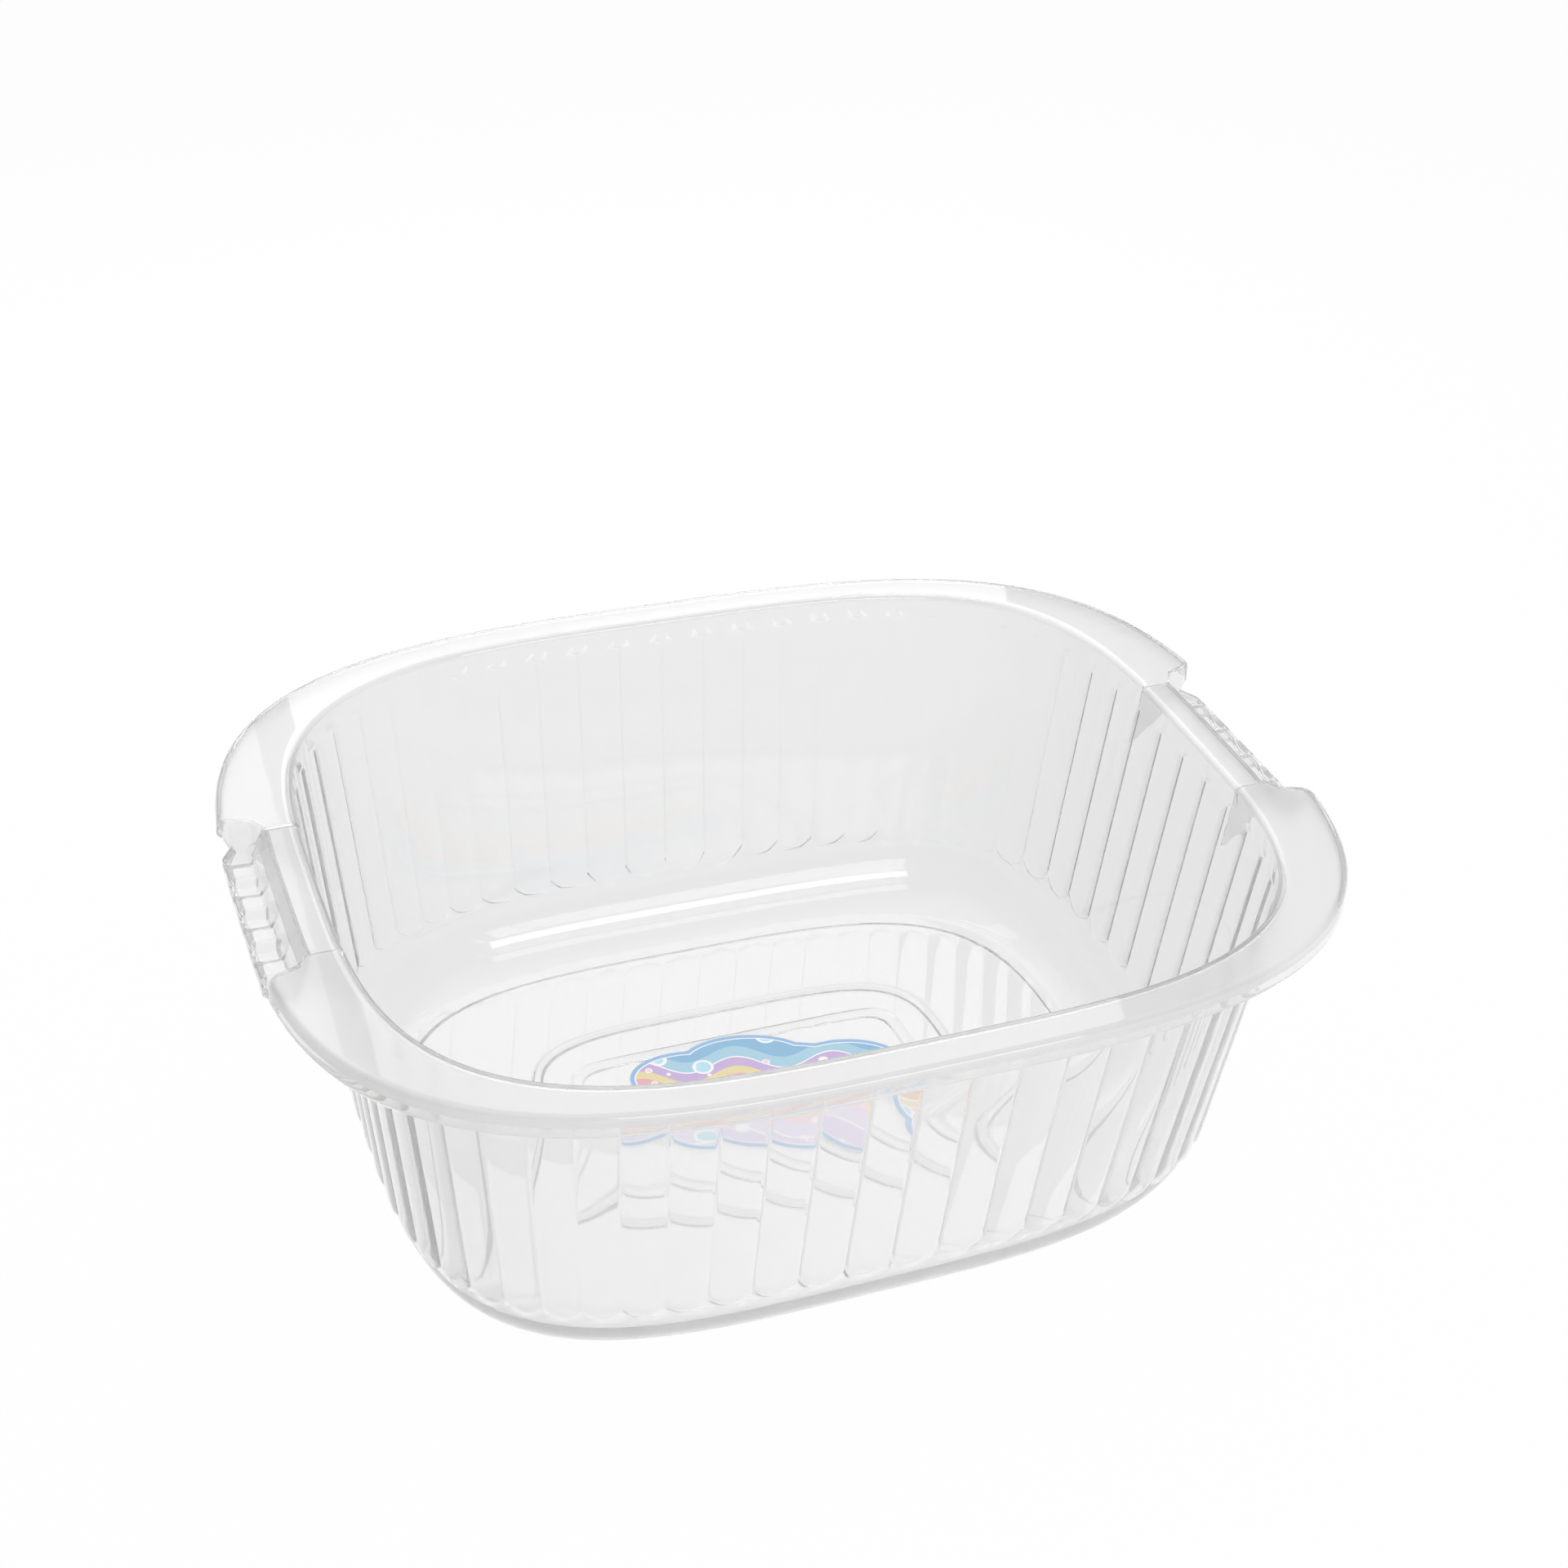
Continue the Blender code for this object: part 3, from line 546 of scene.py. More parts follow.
def grip_point(start, kind, distance):
    """A point of a column in plan in a grip, which widens outwards."""
    if kind in ("last", "end"):
        run = distance - max(distance - LEDGE_START, 0.0) * (1 - LEDGE_END_SHARE)
        return np.array((start[0] + run, start[1] + grip_end(run) - GRIP_HALF_WIDTH))
    spread = grip_end(min(distance, LEDGE_START)) / GRIP_HALF_WIDTH
    return np.array((start[0] + distance, start[1] * spread))


def end_edge_drop(row, height, past):
    """How far the rim's rounded edge at the end of a grip lies under the rim's top."""
    radius = STRIP_END_RADIUS if row < STRIP_ROWS else END_EDGE_RADIUS
    drop = radius * (1 - quarter_round(min(past / radius, 1.0)))
    return drop * (1 - min((TOP - height) / RIM_EDGE_RADIUS, 1.0))


def rim_points(mouth, columns):
    """For each column, its points from the mouth edge round to the wall."""
    outer = outline(RIM_OUTLINE)
    grid = []
    for share, kind, place in columns:
        plan = column_plan(mouth, outer, share, kind, place)
        start, end = plan[:2]
        length = float(np.linalg.norm(end - start))
        plain = plain_section(length)
        points = []
        for row, (distance, height, wave) in enumerate(GRIP_ROWS):
            if kind in ("grip", "last") or (kind == "end" and row >= OVER_COUNT):
                at = grip_point(start, kind, distance)
                height -= FINGER_WAVE_DEPTH * wave * (1 - finger_height(at[1]))
            else:
                distance, height = plain[row]
                at = plain_point(plan, length, distance)
                if kind in ("end", "corner") and row < OVER_COUNT:
                    height -= end_edge_drop(row, height, place)
            points.append((at[0], at[1], height))
        grid.append(points)
    return np.array(grid)


# The shell, ring by ring: under the floor, up the outside, over the rim and down inside.

def step_rows(size, start, width, before, after):
    """Rows over a soft step between two heights. A row past either end keeps the flats flat."""
    margin = math.copysign(CAP_MARGIN, width)
    rows = [(size, start - margin, before)]
    rows += [(size, start + width * part, mix(before, after, smooth(part)))
             for part in STEP_PARTS]
    rows.append((size, start + width + margin, after))
    return rows


def bead_rows(way, height, rise, count):
    """Rows over the ridge round the floor, outwards with a way of 1 or inwards with -1."""
    edge = way * (BEAD_WIDTH / 2 + CAP_MARGIN)
    rows = [(BEAD_OUTLINE, -edge, height)]
    rows += [(BEAD_OUTLINE, BEAD_WIDTH / 2 * part,
              height + rise * (1 + math.cos(math.pi * part)) / 2)
             for part in np.linspace(-way, way, count)]
    rows.append((BEAD_OUTLINE, edge, height))
    return rows


def add_underside(shell):
    """The floor from below, outwards: its panel's border, its ridge and the base ring."""
    low = BASE_RING_HEIGHT
    high = low + PANEL_RISE
    ring_edge = (FLOOR_OUTLINE[0] - BASE_RING_WIDTH, FLOOR_OUTLINE[1] - BASE_RING_WIDTH,
                 FLOOR_OUTLINE[2])
    rows = step_rows(PANEL_OUTLINE, -PANEL_BAND_WIDTH, PANEL_STEP_WIDTH, high, low)
    rows += step_rows(PANEL_OUTLINE, 0.0, PANEL_STEP_WIDTH, low, high)
    rows += bead_rows(1, high, -BEAD_DROP, BEAD_DROP_ROWS)
    rows += step_rows(ring_edge, -BASE_STEP_WIDTH, BASE_STEP_WIDTH, high, 0.0)
    rings = shell.flat_rings(rows, np.linspace(0.0, 1.0, UNDER_STEPS + 1))
    shell.cap(rings[0][::-1])


def flute_columns():
    """Shares of a quarter and how far out each lies on its flute. Two columns close to each
    crease keep its groove narrow, so it shows as one fine line. The grooves are shallower
    round the corners of the basin."""
    flutes = FLUTE_COUNT // 4
    through = np.array(FLUTE_PLACES)
    shares = np.append((np.arange(flutes)[:, None] + through).ravel(), flutes) / flutes
    bulge = np.append(np.tile(1 - (2 * through - 1) ** 2, flutes), 0.0)
    groove = CREASE_DEPTH_SHARE * (1 - CREASE_CORNER_FADE * np.sin(math.pi * shares) ** 2)
    return shares, np.where(bulge > 0.0, bulge, -groove)


def fluted_ring(shares, bulge, heights, depth=1.0):
    """A quarter ring on the fluted outside of the wall. The flutes are wider at the middle of
    each side than round the corners, and more so at the foot."""
    points = np.zeros((len(shares), 3))
    part = (heights - FOOT_HEIGHT) / (BASIN_HEIGHT - FOOT_HEIGHT)
    spread = FLUTE_FOOT_SPREAD + (FLUTE_TOP_SPREAD - FLUTE_FOOT_SPREAD) * part
    shares = shares + spread / math.tau * np.sin(math.tau * shares)
    offsets = WALL_THICKNESS + FLUTE_DEPTH * bulge * depth
    # Points with the same height and offset lie on one outline.
    keys = np.round(np.stack((heights, offsets), 1), 8)
    for key in np.unique(keys, axis=0):
        same = np.all(keys == key, axis=1)
        curve = outline(wall_size(key[0]), key[1])
        x, y = on_outline(curve, shares[same])
        points[same] = np.stack((x, y, np.full_like(x, key[0])), 1)
    return points


def add_outside(shell):
    """The plain round of the base, then the flutes from their scallops to the tips of the
    creases."""
    shares, bulge = flute_columns()
    rows = []
    for step in range(ROUND_ROWS):
        size, height = round_section(1 - step / ROUND_ROWS, 0.0)
        rows.append((size, WALL_THICKNESS, height))
    shell.flat_rings(rows, shares)

    foot = FLUTE_FOOT_HEIGHT - FLUTE_FOOT_SAG * bulge
    for part in SCALLOP_PARTS:
        shell.ring(fluted_ring(shares, bulge, foot + FLUTE_FOOT_ROUND * part,
                               quarter_round(part)), shares)
    flute_top = TOP - FLUTE_TOP_DROP
    for part in FLUTE_PARTS:
        shell.ring(fluted_ring(shares, bulge, mix(foot + FLUTE_FOOT_ROUND,
                                                  flute_top - FLUTE_TOP_FADE, part)), shares)
    # The creases close upwards in round tips, and the wall above them is plain.
    for part in CREASE_TIP_PARTS:
        heights = np.full_like(bulge, flute_top - FLUTE_TOP_FADE * part)
        shell.ring(fluted_ring(shares, 1 - (1 - bulge) * quarter_round(part), heights), shares)


def add_rim(shell, mouth, columns, shares):
    """The rim, from the wall outwards underneath and back over the top. Its underside was
    shaped by the blasted part of the mould, but in the grips only as far as the upper half of
    the slope."""
    grid = rim_points(mouth, columns)
    grip_share = next(share for share, kind, place in columns if kind == "corner")
    last_row = len(GRIP_ROWS) - 1
    for row in range(last_row, -1, -1):
        start = len(shell.faces)
        shell.ring(grid[:, row], shares)
        if OVER_COUNT + 2 * SKIRT_LIP_ROWS <= row < last_row:
            # How far each point is from the middle of the nearest grip, in quarters.
            from_grip = np.abs((shell.last[1] + 1) % 2 - 1)
            blasted = (row > last_row - UNDER_STRIP_ROWS) | (from_grip > grip_share)
            shell.frosted += (start + np.flatnonzero(blasted)).tolist()


def add_inside(shell, shares):
    """The plain wall inside, the round below it and the floor, inwards."""
    rows = [(wall_size(height), 0.0, height) for height in
            np.linspace(TOP - MOUTH_EDGE_RADIUS, FOOT_HEIGHT, INNER_WALL_ROWS)[1:-1]]
    for step in range(ROUND_ROWS + 1):
        size, height = round_section(step / ROUND_ROWS, FLOOR_TOP_HEIGHT)
        rows.append((size, 0.0, height))
    shell.flat_rings(rows, shares)

    top = FLOOR_TOP_HEIGHT
    rows = [(FLOOR_OUTLINE, -CAP_MARGIN, top)]
    rows += bead_rows(-1, top, BEAD_RIDGE, BEAD_RIDGE_ROWS)
    rows += step_rows(PANEL_OUTLINE, PANEL_STEP_WIDTH, -PANEL_STEP_WIDTH, top, top - PANEL_RISE)
    rows += step_rows(PANEL_OUTLINE, PANEL_STEP_WIDTH - PANEL_BAND_WIDTH, -PANEL_STEP_WIDTH,
                      top - PANEL_RISE, top)
    rings = shell.flat_rings(rows, np.linspace(0.0, 1.0, UNDER_STEPS + 1))
    shell.cap(rings[-1])


def shell_object():
    """The basin's body as one closed mesh, still without its gussets."""
    shell = Shell()
    mouth = outline(wall_size(TOP - MOUTH_EDGE_RADIUS))
    columns = rim_columns(mouth)
    shares = np.array([share for share, kind, place in columns])
    add_underside(shell)
    add_outside(shell)
    add_rim(shell, mouth, columns, shares)
    add_inside(shell, shares)
    mesh = bpy.data.meshes.new("basin_shell")
    mesh.from_pydata(np.concatenate(shell.points).tolist(), [], shell.faces)
    frosted = np.zeros(len(mesh.polygons), dtype=np.int32)
    frosted[shell.frosted] = 1
    mesh.polygons.foreach_set("material_index", frosted)
    mesh.shade_smooth()
    mesh.set_sharp_from_angle(angle=SHARP_ANGLE)
    made = bpy.data.objects.new("basin_shell", mesh)
    bpy.context.scene.collection.objects.link(made)
    return made


def add_gussets(body):
    """Thin upright webs under the ends of each grip, joined to the wall and the rim."""
    top = STRIP - RIM_THICKNESS + GUSSET_SINK
    foot = TOP - GUSSET_HEIGHT
    slope = (MOUTH_OUTLINE[0] - FOOT_OUTLINE[0]) / (BASIN_HEIGHT - FOOT_HEIGHT)
    wall = MOUTH_OUTLINE[0] + WALL_THICKNESS / 2
    profile = (
        (wall - slope * GUSSET_HEIGHT, foot),
        (wall + GUSSET_FOOT_WIDTH - slope * GUSSET_HEIGHT, foot),
        (MOUTH_OUTLINE[0] + GUSSET_REACH, LEDGE - GUSSET_SINK),
        (MOUTH_OUTLINE[0] + GUSSET_TOP_REACH, top),
        (wall - slope * (TOP - top), top))
    start = GRIP_HALF_WIDTH + (END_WALL + END_DRAFT - GUSSET_THICKNESS) / 2
    points, faces = [], []
    count = len(profile)
    for side in (1, -1):
        for end in (1, -1):
            base = len(points)
            for y in (start, start + GUSSET_THICKNESS):
                points += [(side * x, end * y, z) for x, z in profile]
            web = [list(range(base, base + count))[::-1],
                   list(range(base + count, base + 2 * count))]
            for at in range(count):
                after = (at + 1) % count
                web.append([base + at, base + after, base + count + after, base + count + at])
            if side * end > 0:
                web = [face[::-1] for face in web]
            faces += web
    mesh = bpy.data.meshes.new("gussets")
    mesh.from_pydata(points, [], faces)
    mesh.polygons.foreach_set("material_index", np.ones(len(faces), dtype=np.int32))
    webs = bpy.data.objects.new("gussets", mesh)
    bpy.context.scene.collection.objects.link(webs)
    unite(body, webs)


# Materials.

def linear(hexadecimal):
    """Linear colour from an sRGB hex value."""
    value = hexadecimal.lstrip("#")
    out = []
    for at in (0, 2, 4):
        c = int(value[at:at + 2], 16) / 255
        out.append(c / 12.92 if c <= 0.04045 else ((c + 0.055) / 1.055) ** 2.4)
    return (*out, 1.0)


def feed(tree, socket, value):
    """Feeds an input from another socket, or sets it to a constant."""
    if isinstance(value, bpy.types.NodeSocket):
        tree.links.new(value, socket)
    else:
        socket.default_value = value


def node(tree, kind, settings=(), links=()):
    """Adds a node with its settings, and feeds its inputs from other sockets."""
    made = tree.nodes.new(kind)
    for name, value in dict(settings).items():
        if name in made.inputs and not hasattr(made, name):
            made.inputs[name].default_value = value
        else:
            setattr(made, name, value)
    for name, source in dict(links).items():
        tree.links.new(source, made.inputs[name])
    return made


def calculate(tree, operation, *values):
    """The result of a sum with sockets or plain numbers."""
    made = node(tree, "ShaderNodeMath", {"operation": operation})
    for index, value in enumerate(values):
        feed(tree, made.inputs[index], value)
    return made.outputs[0]


def blend(tree, share, first, second):
    """A colour that goes from a first one to a second one with a share."""
    made = node(tree, "ShaderNodeMix", {"data_type": "RGBA"}, {"Factor": share})
    # The node has sockets for each kind of value, and these are the ones for colours.
    feed(tree, made.inputs[6], first)
    feed(tree, made.inputs[7], second)
    return made.outputs[2]


def blend_shaders(tree, share, first, second):
    mixed = node(tree, "ShaderNodeMixShader", links={
        0: share, 1: first.outputs[0], 2: second.outputs[0]})
    return mixed.outputs[0]


def new_material(name):
    """A material with its node tree and its Principled shader."""
    made = bpy.data.materials.new(name)
    made.use_nodes = True
    shader = made.node_tree.nodes["Principled BSDF"]
    shader.inputs["Metallic"].default_value = 0.0
    return made, made.node_tree, shader


PLASTIC_IOR = 1.49
PLASTIC_TRANSMISSION = 0.825
FILM_IOR = 1.5
FILM_ROUGHNESS = 0.32


def clear_plastic(name, colour, smoothest, roughest):
    """Clear polypropylene, injection moulded. It is glassy with a milky haze that softens what
    lies behind each wall, and the melt's flow leaves the surface faintly uneven, so
    reflections waver a little along the walls. Where the mould is polished the surface is
    smooth and shines, and where it is blasted the surface is frosted and hides what is behind."""
    made, tree, shader = new_material(name)
    shader.inputs["Base Color"].default_value = linear(colour)
    shader.inputs["IOR"].default_value = PLASTIC_IOR
    shader.inputs["Transmission Weight"].default_value = PLASTIC_TRANSMISSION
    place = node(tree, "ShaderNodeTexCoord")
    flow = node(tree, "ShaderNodeTexNoise", {"Scale": 28.0, "Detail": 1.0, "Roughness": 0.4},
                {"Vector": place.outputs["Object"]})
    uneven = node(tree, "ShaderNodeBump", {"Strength": 0.12, "Distance": 0.0004},
                  {"Height": flow.outputs["Fac"]})
    tree.links.new(uneven.outputs["Normal"], shader.inputs["Normal"])
    haze = node(tree, "ShaderNodeTexNoise", {"Scale": 60.0, "Detail": 3.0, "Roughness": 0.55},
                {"Vector": place.outputs["Object"]})
    satin = node(tree, "ShaderNodeMapRange", {"To Min": smoothest, "To Max": roughest},
                 {"Value": haze.outputs["Fac"]})
    tree.links.new(satin.outputs["Result"], shader.inputs["Roughness"])
    # Lamps and the soft light from all round pass the wall straight, as through thin plastic.
    path = node(tree, "ShaderNodeLightPath")
    passing = calculate(tree, "MAXIMUM", path.outputs["Is Shadow Ray"],
                        path.outputs["Is Diffuse Ray"])
    clear = node(tree, "ShaderNodeBsdfTransparent", {"Color": linear("#f6f6f6")})
    tree.links.new(blend_shaders(tree, passing, shader, clear),
                   tree.nodes["Material Output"].inputs["Surface"])
    return made


def film(name):
    """Printed and laminated label film: a smooth plastic film under a satin coat."""
    made, tree, shader = new_material(name)
    shader.inputs["Roughness"].default_value = FILM_ROUGHNESS
    shader.inputs["IOR"].default_value = FILM_IOR
    return made, tree, shader


def plain_film(name, colour):
    """Plain field of the printed film: even ink, which a faint grain lightens here and there."""
    made, tree, shader = film(name)
    place = node(tree, "ShaderNodeTexCoord")
    grain = node(tree, "ShaderNodeTexNoise", {"Scale": 900.0, "Detail": 2.0},
                 {"Vector": place.outputs["Object"]})
    amount = node(tree, "ShaderNodeMapRange", {"To Min": 0.0, "To Max": 0.08},
                  {"Value": grain.outputs["Fac"]})
    ink = blend(tree, amount.outputs["Result"], linear(colour), linear("#ffffff"))
    tree.links.new(ink, shader.inputs["Base Color"])
    return made


# The label. A lobe has a place, as shares of the label's half size, and its own half size. A band
# has a colour and the share of the way across where it starts. Bubbles have the number of cells
# in a metre, their size as a share of a cell and the colour of their fill.
LABEL_CENTRE = (0.0026, 0.0025)
LABEL_TURN = math.radians(-12.0)
LABEL_HALF_LENGTH = 0.0590
LABEL_HALF_WIDTH = 0.0345
LABEL_OVAL_SHARE = 0.93
LABEL_BOTTOM = 0.00405
LABEL_THICKNESS = 0.00012
LABEL_SIDES = 128
LOBE_SIDES = 96
LABEL_BORDER = 0.0019
LABEL_LINE = 0.0006
LABEL_LOBES = ((-0.52, 0.36, 0.026, 0.0165), (-0.10, 0.57, 0.029, 0.0178),
               (0.62, 0.34, 0.027, 0.0190), (0.30, -0.52, 0.030, 0.0180),
               (-0.60, -0.34, 0.029, 0.0190))
FACING_UP = 0.9
WAVE_RATE = 150.0
WAVE_HEIGHT = 0.0045
BANDS_HALF_WIDTH = 0.034
BANDS = ((0.0, "#e3d8f1"), (0.13, "#ffffff"), (0.145, "#eae2f5"), (0.27, "#f7dae3"),
         (0.36, "#f3e3b9"), (0.45, "#ffffff"), (0.465, "#f1c9b0"), (0.54, "#efb4c0"),
         (0.62, "#efdfaa"), (0.69, "#cfb5e2"), (0.77, "#ffffff"), (0.785, "#aed6e8"),
         (0.88, "#8fc0e2"))
BUBBLES = ((62.0, 0.30, "#bfe9f7"), (118.0, 0.22, "#fbdbe6"))
BUBBLE_FILL_SHARE = 0.78


def patterned_film(name):
    """The label's inner field: film with soft pastel waves and round bubbles, flexo printed,
    so its colours are flat and its edges crisp."""
    made, tree, shader = film(name)
    place = node(tree, "ShaderNodeTexCoord")
    turned = node(tree, "ShaderNodeMapping", {"vector_type": "TEXTURE"},
                  {"Vector": place.outputs["Object"]})
    turned.inputs["Location"].default_value = (*LABEL_CENTRE, 0.0)
    turned.inputs["Rotation"].default_value = (0.0, 0.0, LABEL_TURN)
    apart = node(tree, "ShaderNodeSeparateXYZ", links={0: turned.outputs[0]})
    # Wavy bands across the label.
    swing = calculate(tree, "MULTIPLY", apart.outputs["X"], WAVE_RATE)
    wave = calculate(tree, "SINE", swing)
    lifted = calculate(tree, "MULTIPLY_ADD", wave, WAVE_HEIGHT, apart.outputs["Y"])
    level = node(tree, "ShaderNodeMapRange", {
        "From Min": -BANDS_HALF_WIDTH, "From Max": BANDS_HALF_WIDTH}, {"Value": lifted})
    bands = node(tree, "ShaderNodeValToRGB", links={0: level.outputs["Result"]})
    ramp = bands.color_ramp
    ramp.interpolation = "CONSTANT"
    for stop, (position, colour) in zip(ramp.elements, BANDS):
        stop.position = position
        stop.color = linear(colour)
    for position, colour in BANDS[len(ramp.elements):]:
        ramp.elements.new(position).color = linear(colour)
    # Bubbles, bigger ones first, each a white ring with a pale fill.
    colour = bands.outputs["Color"]
    flat = node(tree, "ShaderNodeCombineXYZ", links={
        "X": apart.outputs["X"], "Y": apart.outputs["Y"]})
    for scale, size, fill in BUBBLES:
        cells = node(tree, "ShaderNodeTexVoronoi", {"Scale": scale, "Randomness": 0.75},
                     {"Vector": flat.outputs[0]})
        for reach, shade in ((size, "#ffffff"), (size * BUBBLE_FILL_SHARE, fill)):
            inside = calculate(tree, "LESS_THAN", cells.outputs["Distance"], reach)
            colour = blend(tree, inside, colour, linear(shade))
    tree.links.new(colour, shader.inputs["Base Color"])
    return made


def oval(sides, centre, half_length, half_width):
    """A thin oval plate of the label's thickness, at its height."""
    deselect()
    bpy.ops.mesh.primitive_cylinder_add(
        vertices=sides, radius=1.0, depth=LABEL_THICKNESS,
        location=(*centre, LABEL_BOTTOM + LABEL_THICKNESS / 2))
    made = bpy.context.object
    made.scale = (half_length, half_width, 1.0)
    bpy.ops.object.transform_apply(location=True, rotation=True, scale=True)
    return made


def label_piece():
    """The label: an oval film with lobed edges, a blue border and a white line inside it."""
    plate = oval(LABEL_SIDES, (0.0, 0.0), LABEL_HALF_LENGTH,
                 LABEL_HALF_WIDTH * LABEL_OVAL_SHARE)
    plate.name = "floor_label"
    for across, along, half_length, half_width in LABEL_LOBES:
        centre = (across * LABEL_HALF_LENGTH, along * LABEL_HALF_WIDTH)
        unite(plate, oval(LOBE_SIDES, centre, half_length, half_width))
    plate.rotation_euler.z = LABEL_TURN
    plate.location = (*LABEL_CENTRE, 0.0)
    bpy.ops.object.transform_apply(location=True, rotation=True, scale=True)
    plate.data.materials.append(plain_film("film_label_border", "#96bfe9"))
    plate.data.materials.append(plain_film("film_label_white_line", "#ffffff"))
    plate.data.materials.append(patterned_film("film_label_printed"))
    bpy.ops.object.mode_set(mode="EDIT")
    bpy.ops.mesh.select_mode(type="FACE")
    bpy.ops.mesh.select_all(action="SELECT")
    bpy.ops.mesh.remove_doubles(threshold=1e-6)
    bpy.ops.mesh.dissolve_limited(angle_limit=math.radians(0.5))
    bpy.ops.mesh.select_all(action="DESELECT")
    bpy.ops.object.mode_set(mode="OBJECT")
    for face in plate.data.polygons:
        face.select = face.normal.z > FACING_UP
    bpy.ops.object.mode_set(mode="EDIT")
    plate.active_material_index = 0
    for slot, width in ((1, LABEL_BORDER), (2, LABEL_LINE)):
        bpy.ops.mesh.inset(thickness=width, depth=0.0)
        plate.active_material_index = slot
        bpy.ops.object.material_slot_assign()
    bpy.ops.object.mode_set(mode="OBJECT")
    return plate


shell = shell_object()
add_gussets(shell)
shell.data.materials.append(clear_plastic("clear_polypropylene_polished_mould", "#f4f4f4",
                                          smoothest=0.015, roughest=0.04))
# The blasted parts are frosted, so the rim hides what lies below it.
shell.data.materials.append(clear_plastic("clear_polypropylene_blasted_mould", "#f0f0f0",
                                          smoothest=0.38, roughest=0.46))
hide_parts("basin_body")
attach(shell, "root")

label = label_piece()
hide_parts("floor_sticker")
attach(label, "root")


# The studio: a white floor, a dim room and soft lights.

FLOOR_SIZE = 12.0
FLOOR_HEIGHT = -0.0003
FLOOR_GLOW_SHARE = 0.96
ROOM_LEVEL = 0.40
OVERHEAD_LEVEL = 0.50
LEAST_FRONT = 0.001
WHITE = (1, 1, 1, 1)


def paper_floor():
    """White seamless paper: matt, and shown evenly white, also through and in the plastic."""
    deselect()
    bpy.ops.mesh.primitive_plane_add(size=FLOOR_SIZE, location=(0.0, 0.0, FLOOR_HEIGHT))
    made = bpy.context.object
    made.name = "studio_floor"
    look, tree, paper = new_material("white_paper_floor")
    paper.inputs["Base Color"].default_value = linear("#f4f4f4")
    paper.inputs["Roughness"].default_value = 0.9
    paper.inputs["Specular IOR Level"].default_value = 0.0
    glow = node(tree, "ShaderNodeEmission", {"Color": WHITE, "Strength": 1.0})
    path = node(tree, "ShaderNodeLightPath")
    seen = calculate(tree, "MAXIMUM", path.outputs["Is Camera Ray"],
                     path.outputs["Is Transmission Ray"])
    seen = calculate(tree, "MAXIMUM", seen, path.outputs["Is Glossy Ray"])
    share = calculate(tree, "MULTIPLY", seen, FLOOR_GLOW_SHARE)
    tree.links.new(blend_shaders(tree, share, paper, glow),
                   tree.nodes["Material Output"].inputs["Surface"])
    made.data.materials.append(look)
    return made


def room_light(tree, direction, half_size, softness, level):
    """A soft-edged rectangle of light in the room, seen in a direction from the object, given
    as azimuth and elevation in degrees."""
    turn, rise = (math.radians(angle) for angle in direction)
    facing = (math.cos(turn) * math.cos(rise), math.sin(turn) * math.cos(rise), math.sin(rise))
    beside = (-math.sin(turn), math.cos(turn), 0.0)
    above = (-math.cos(turn) * math.sin(rise), -math.sin(turn) * math.sin(rise),
             math.cos(rise))
    place = node(tree, "ShaderNodeTexCoord")
    parts = []
    for axis in (facing, beside, above):
        dot = node(tree, "ShaderNodeVectorMath", {"operation": "DOT_PRODUCT"},
                   {0: place.outputs["Generated"]})
        dot.inputs[1].default_value = axis
        parts.append(dot.outputs["Value"])
    # What lies behind the light's plane counts as far off to its side.
    front = calculate(tree, "MAXIMUM", parts[0], LEAST_FRONT)
    shown = []
    for part, half, soft in zip(parts[1:], half_size, softness):
        away = calculate(tree, "ABSOLUTE", calculate(tree, "DIVIDE", part, front))
        edge = node(tree, "ShaderNodeMapRange", {
            "From Min": half + soft, "From Max": half, "interpolation_type": "SMOOTHSTEP"},
            {"Value": away})
        shown.append(edge.outputs["Result"])
    return calculate(tree, "MULTIPLY", calculate(tree, "MULTIPLY", *shown), level)


def dim_room():
    """A dim room with a big soft light overhead, and a white background for the camera."""
    world = bpy.data.worlds.new("studio")
    world.use_nodes = True
    tree = world.node_tree
    tree.nodes.clear()
    overhead = room_light(tree, direction=(90.0, 88.0), half_size=(0.60, 0.45),
                          softness=(0.5, 0.4), level=OVERHEAD_LEVEL)
    dim = node(tree, "ShaderNodeBackground", {"Color": WHITE},
               {"Strength": calculate(tree, "ADD", overhead, ROOM_LEVEL)})
    white = node(tree, "ShaderNodeBackground", {"Color": WHITE, "Strength": 1.0})
    path = node(tree, "ShaderNodeLightPath")
    node(tree, "ShaderNodeOutputWorld", links={
        "Surface": blend_shaders(tree, path.outputs["Is Camera Ray"], dim, white)})
    return world


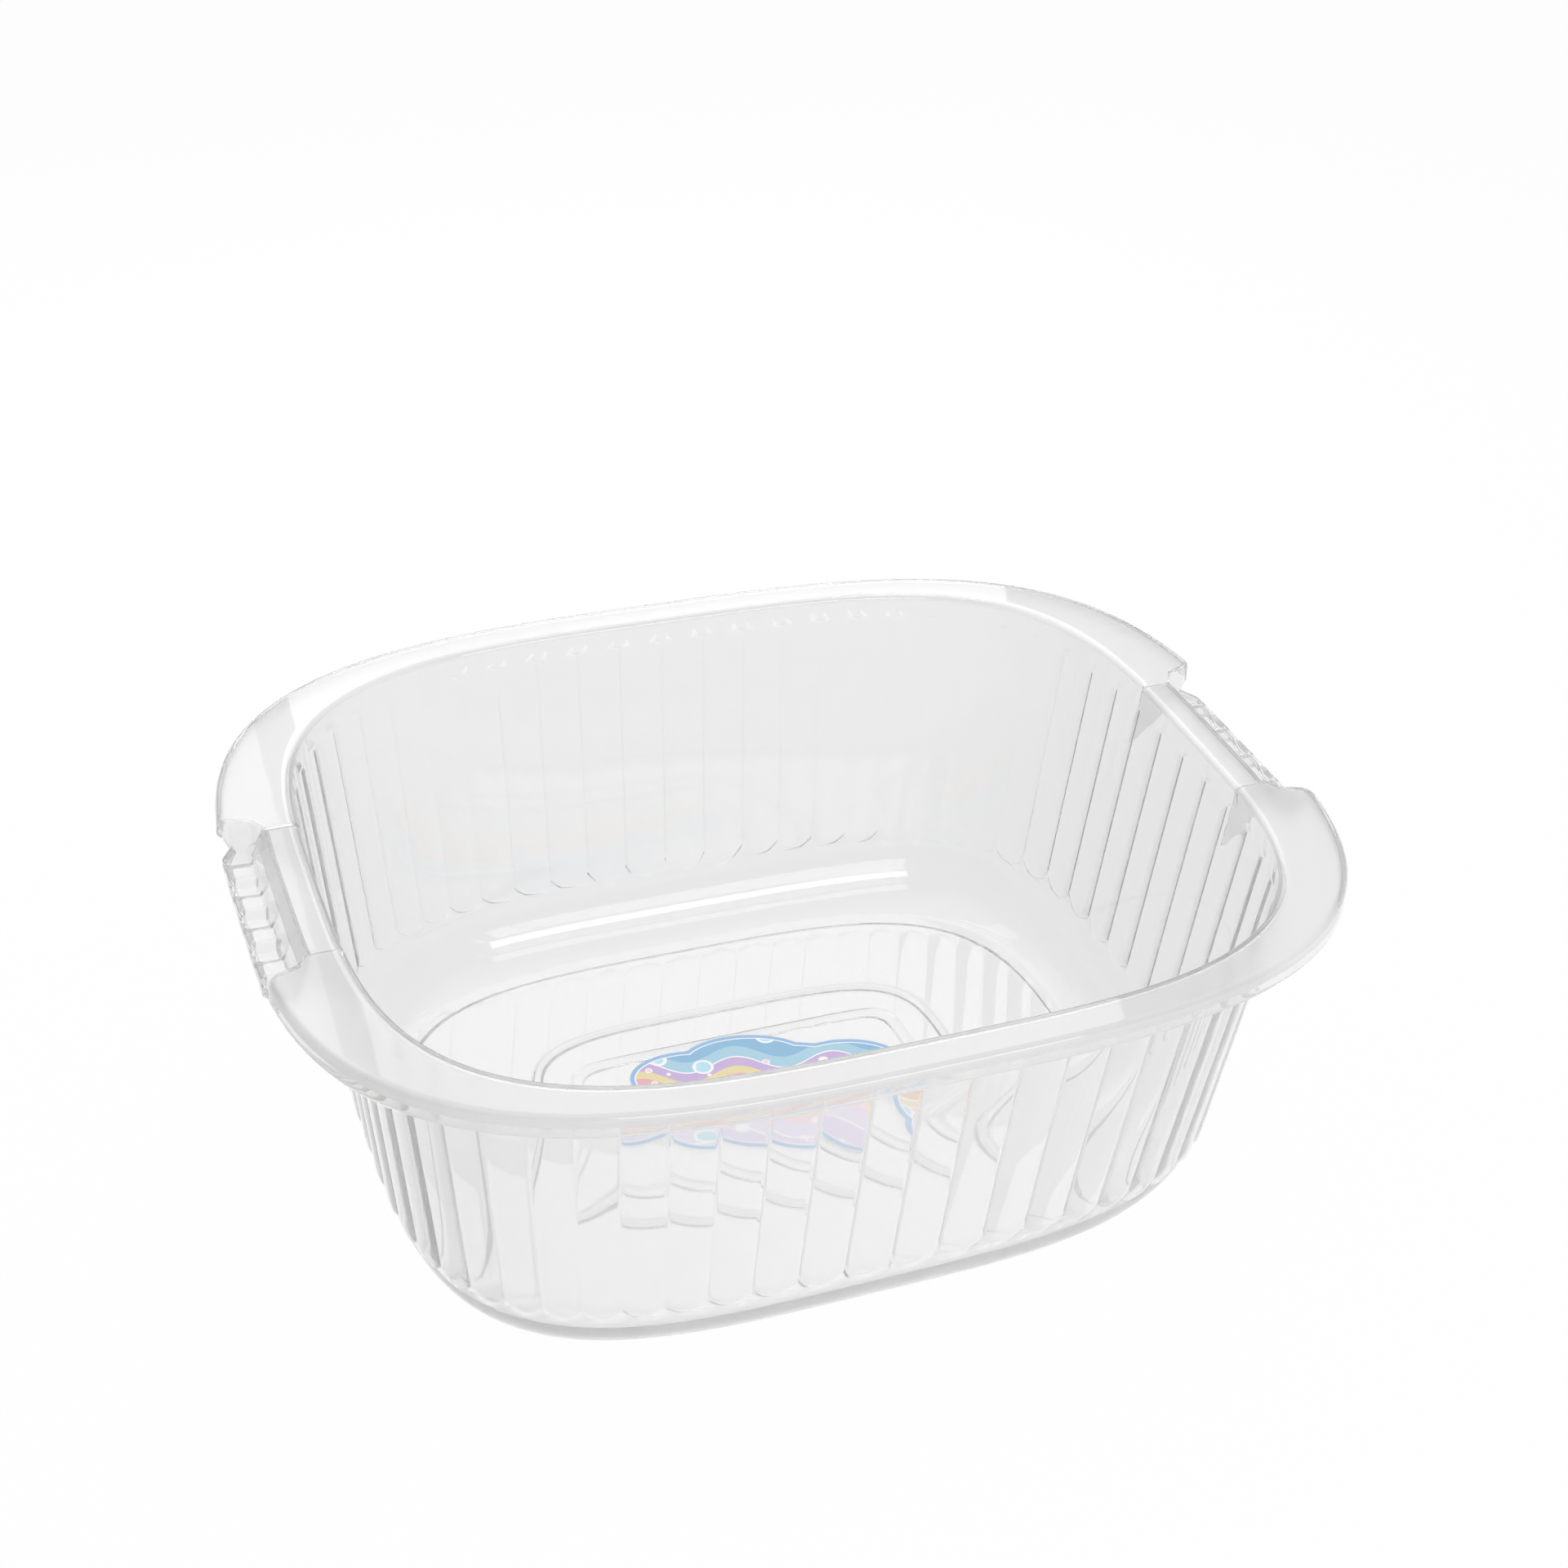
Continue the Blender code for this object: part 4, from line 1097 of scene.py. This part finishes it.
def softbox(name, place, aim, size, power):
    """A rectangular lamp that faces a point."""
    data = bpy.data.lights.new(name, "AREA")
    data.shape = "RECTANGLE"
    data.size, data.size_y = size
    data.energy = power
    made = bpy.data.objects.new(name, data)
    bpy.context.scene.collection.objects.link(made)
    made.location = place
    made.rotation_euler = (Vector(aim) - Vector(place)).to_track_quat("-Z", "Y").to_euler()


floor = paper_floor()
# Two panels behind the basin, which its floor mirrors through the flutes of the back wall.
softbox("back_panel_left", place=(-0.34, 0.74, 0.78), aim=(-0.26, 0.0, 0.08),
        size=(0.56, 0.88), power=1.60)
softbox("back_panel_right", place=(0.27, 0.74, 0.78), aim=(0.33, 0.0, 0.08),
        size=(0.62, 0.88), power=3.30)
softbox("front_softbox", place=(0.178, -1.326, 0.667), aim=(0.0, 0.125, 0.016),
        size=(1.04, 0.62), power=8.0)

# Camera, at the photograph's viewing angle.
AZIMUTH = math.radians(-22.273)
ELEVATION = math.radians(33.55)
ROLL = math.radians(3.2)
DISTANCE = 0.940335
AIM = Vector((0.0, 0.0, 0.162074))
LENS = 56.0
SENSOR_WIDTH = 36.0
SHIFT_ACROSS = 0.0022


def photo_camera():
    back = Vector((math.sin(AZIMUTH) * math.cos(ELEVATION),
                   -math.cos(AZIMUTH) * math.cos(ELEVATION), math.sin(ELEVATION)))
    right = Vector((0, 0, 1)).cross(back).normalized()
    up = back.cross(right)
    rolled_right = right * math.cos(ROLL) + up * math.sin(ROLL)
    rolled_up = -right * math.sin(ROLL) + up * math.cos(ROLL)
    data = bpy.data.cameras.new("photo_camera")
    data.lens = LENS
    data.sensor_width = SENSOR_WIDTH
    data.shift_x = SHIFT_ACROSS
    made = bpy.data.objects.new("photo_camera", data)
    bpy.context.scene.collection.objects.link(made)
    place = AIM + back * DISTANCE
    made.matrix_world = Matrix((
        (rolled_right.x, rolled_up.x, back.x, place.x),
        (rolled_right.y, rolled_up.y, back.y, place.y),
        (rolled_right.z, rolled_up.z, back.z, place.z),
        (0, 0, 0, 1)))
    return made


scene = bpy.context.scene
scene.world = dim_room()
scene.camera = photo_camera()
scene.view_settings.view_transform = "Standard"
# Light passes many walls of the basin before it reaches the camera.
scene.cycles.max_bounces = 24
scene.cycles.transmission_bounces = 20
scene.cycles.glossy_bounces = 8
scene.cycles.transparent_max_bounces = 24
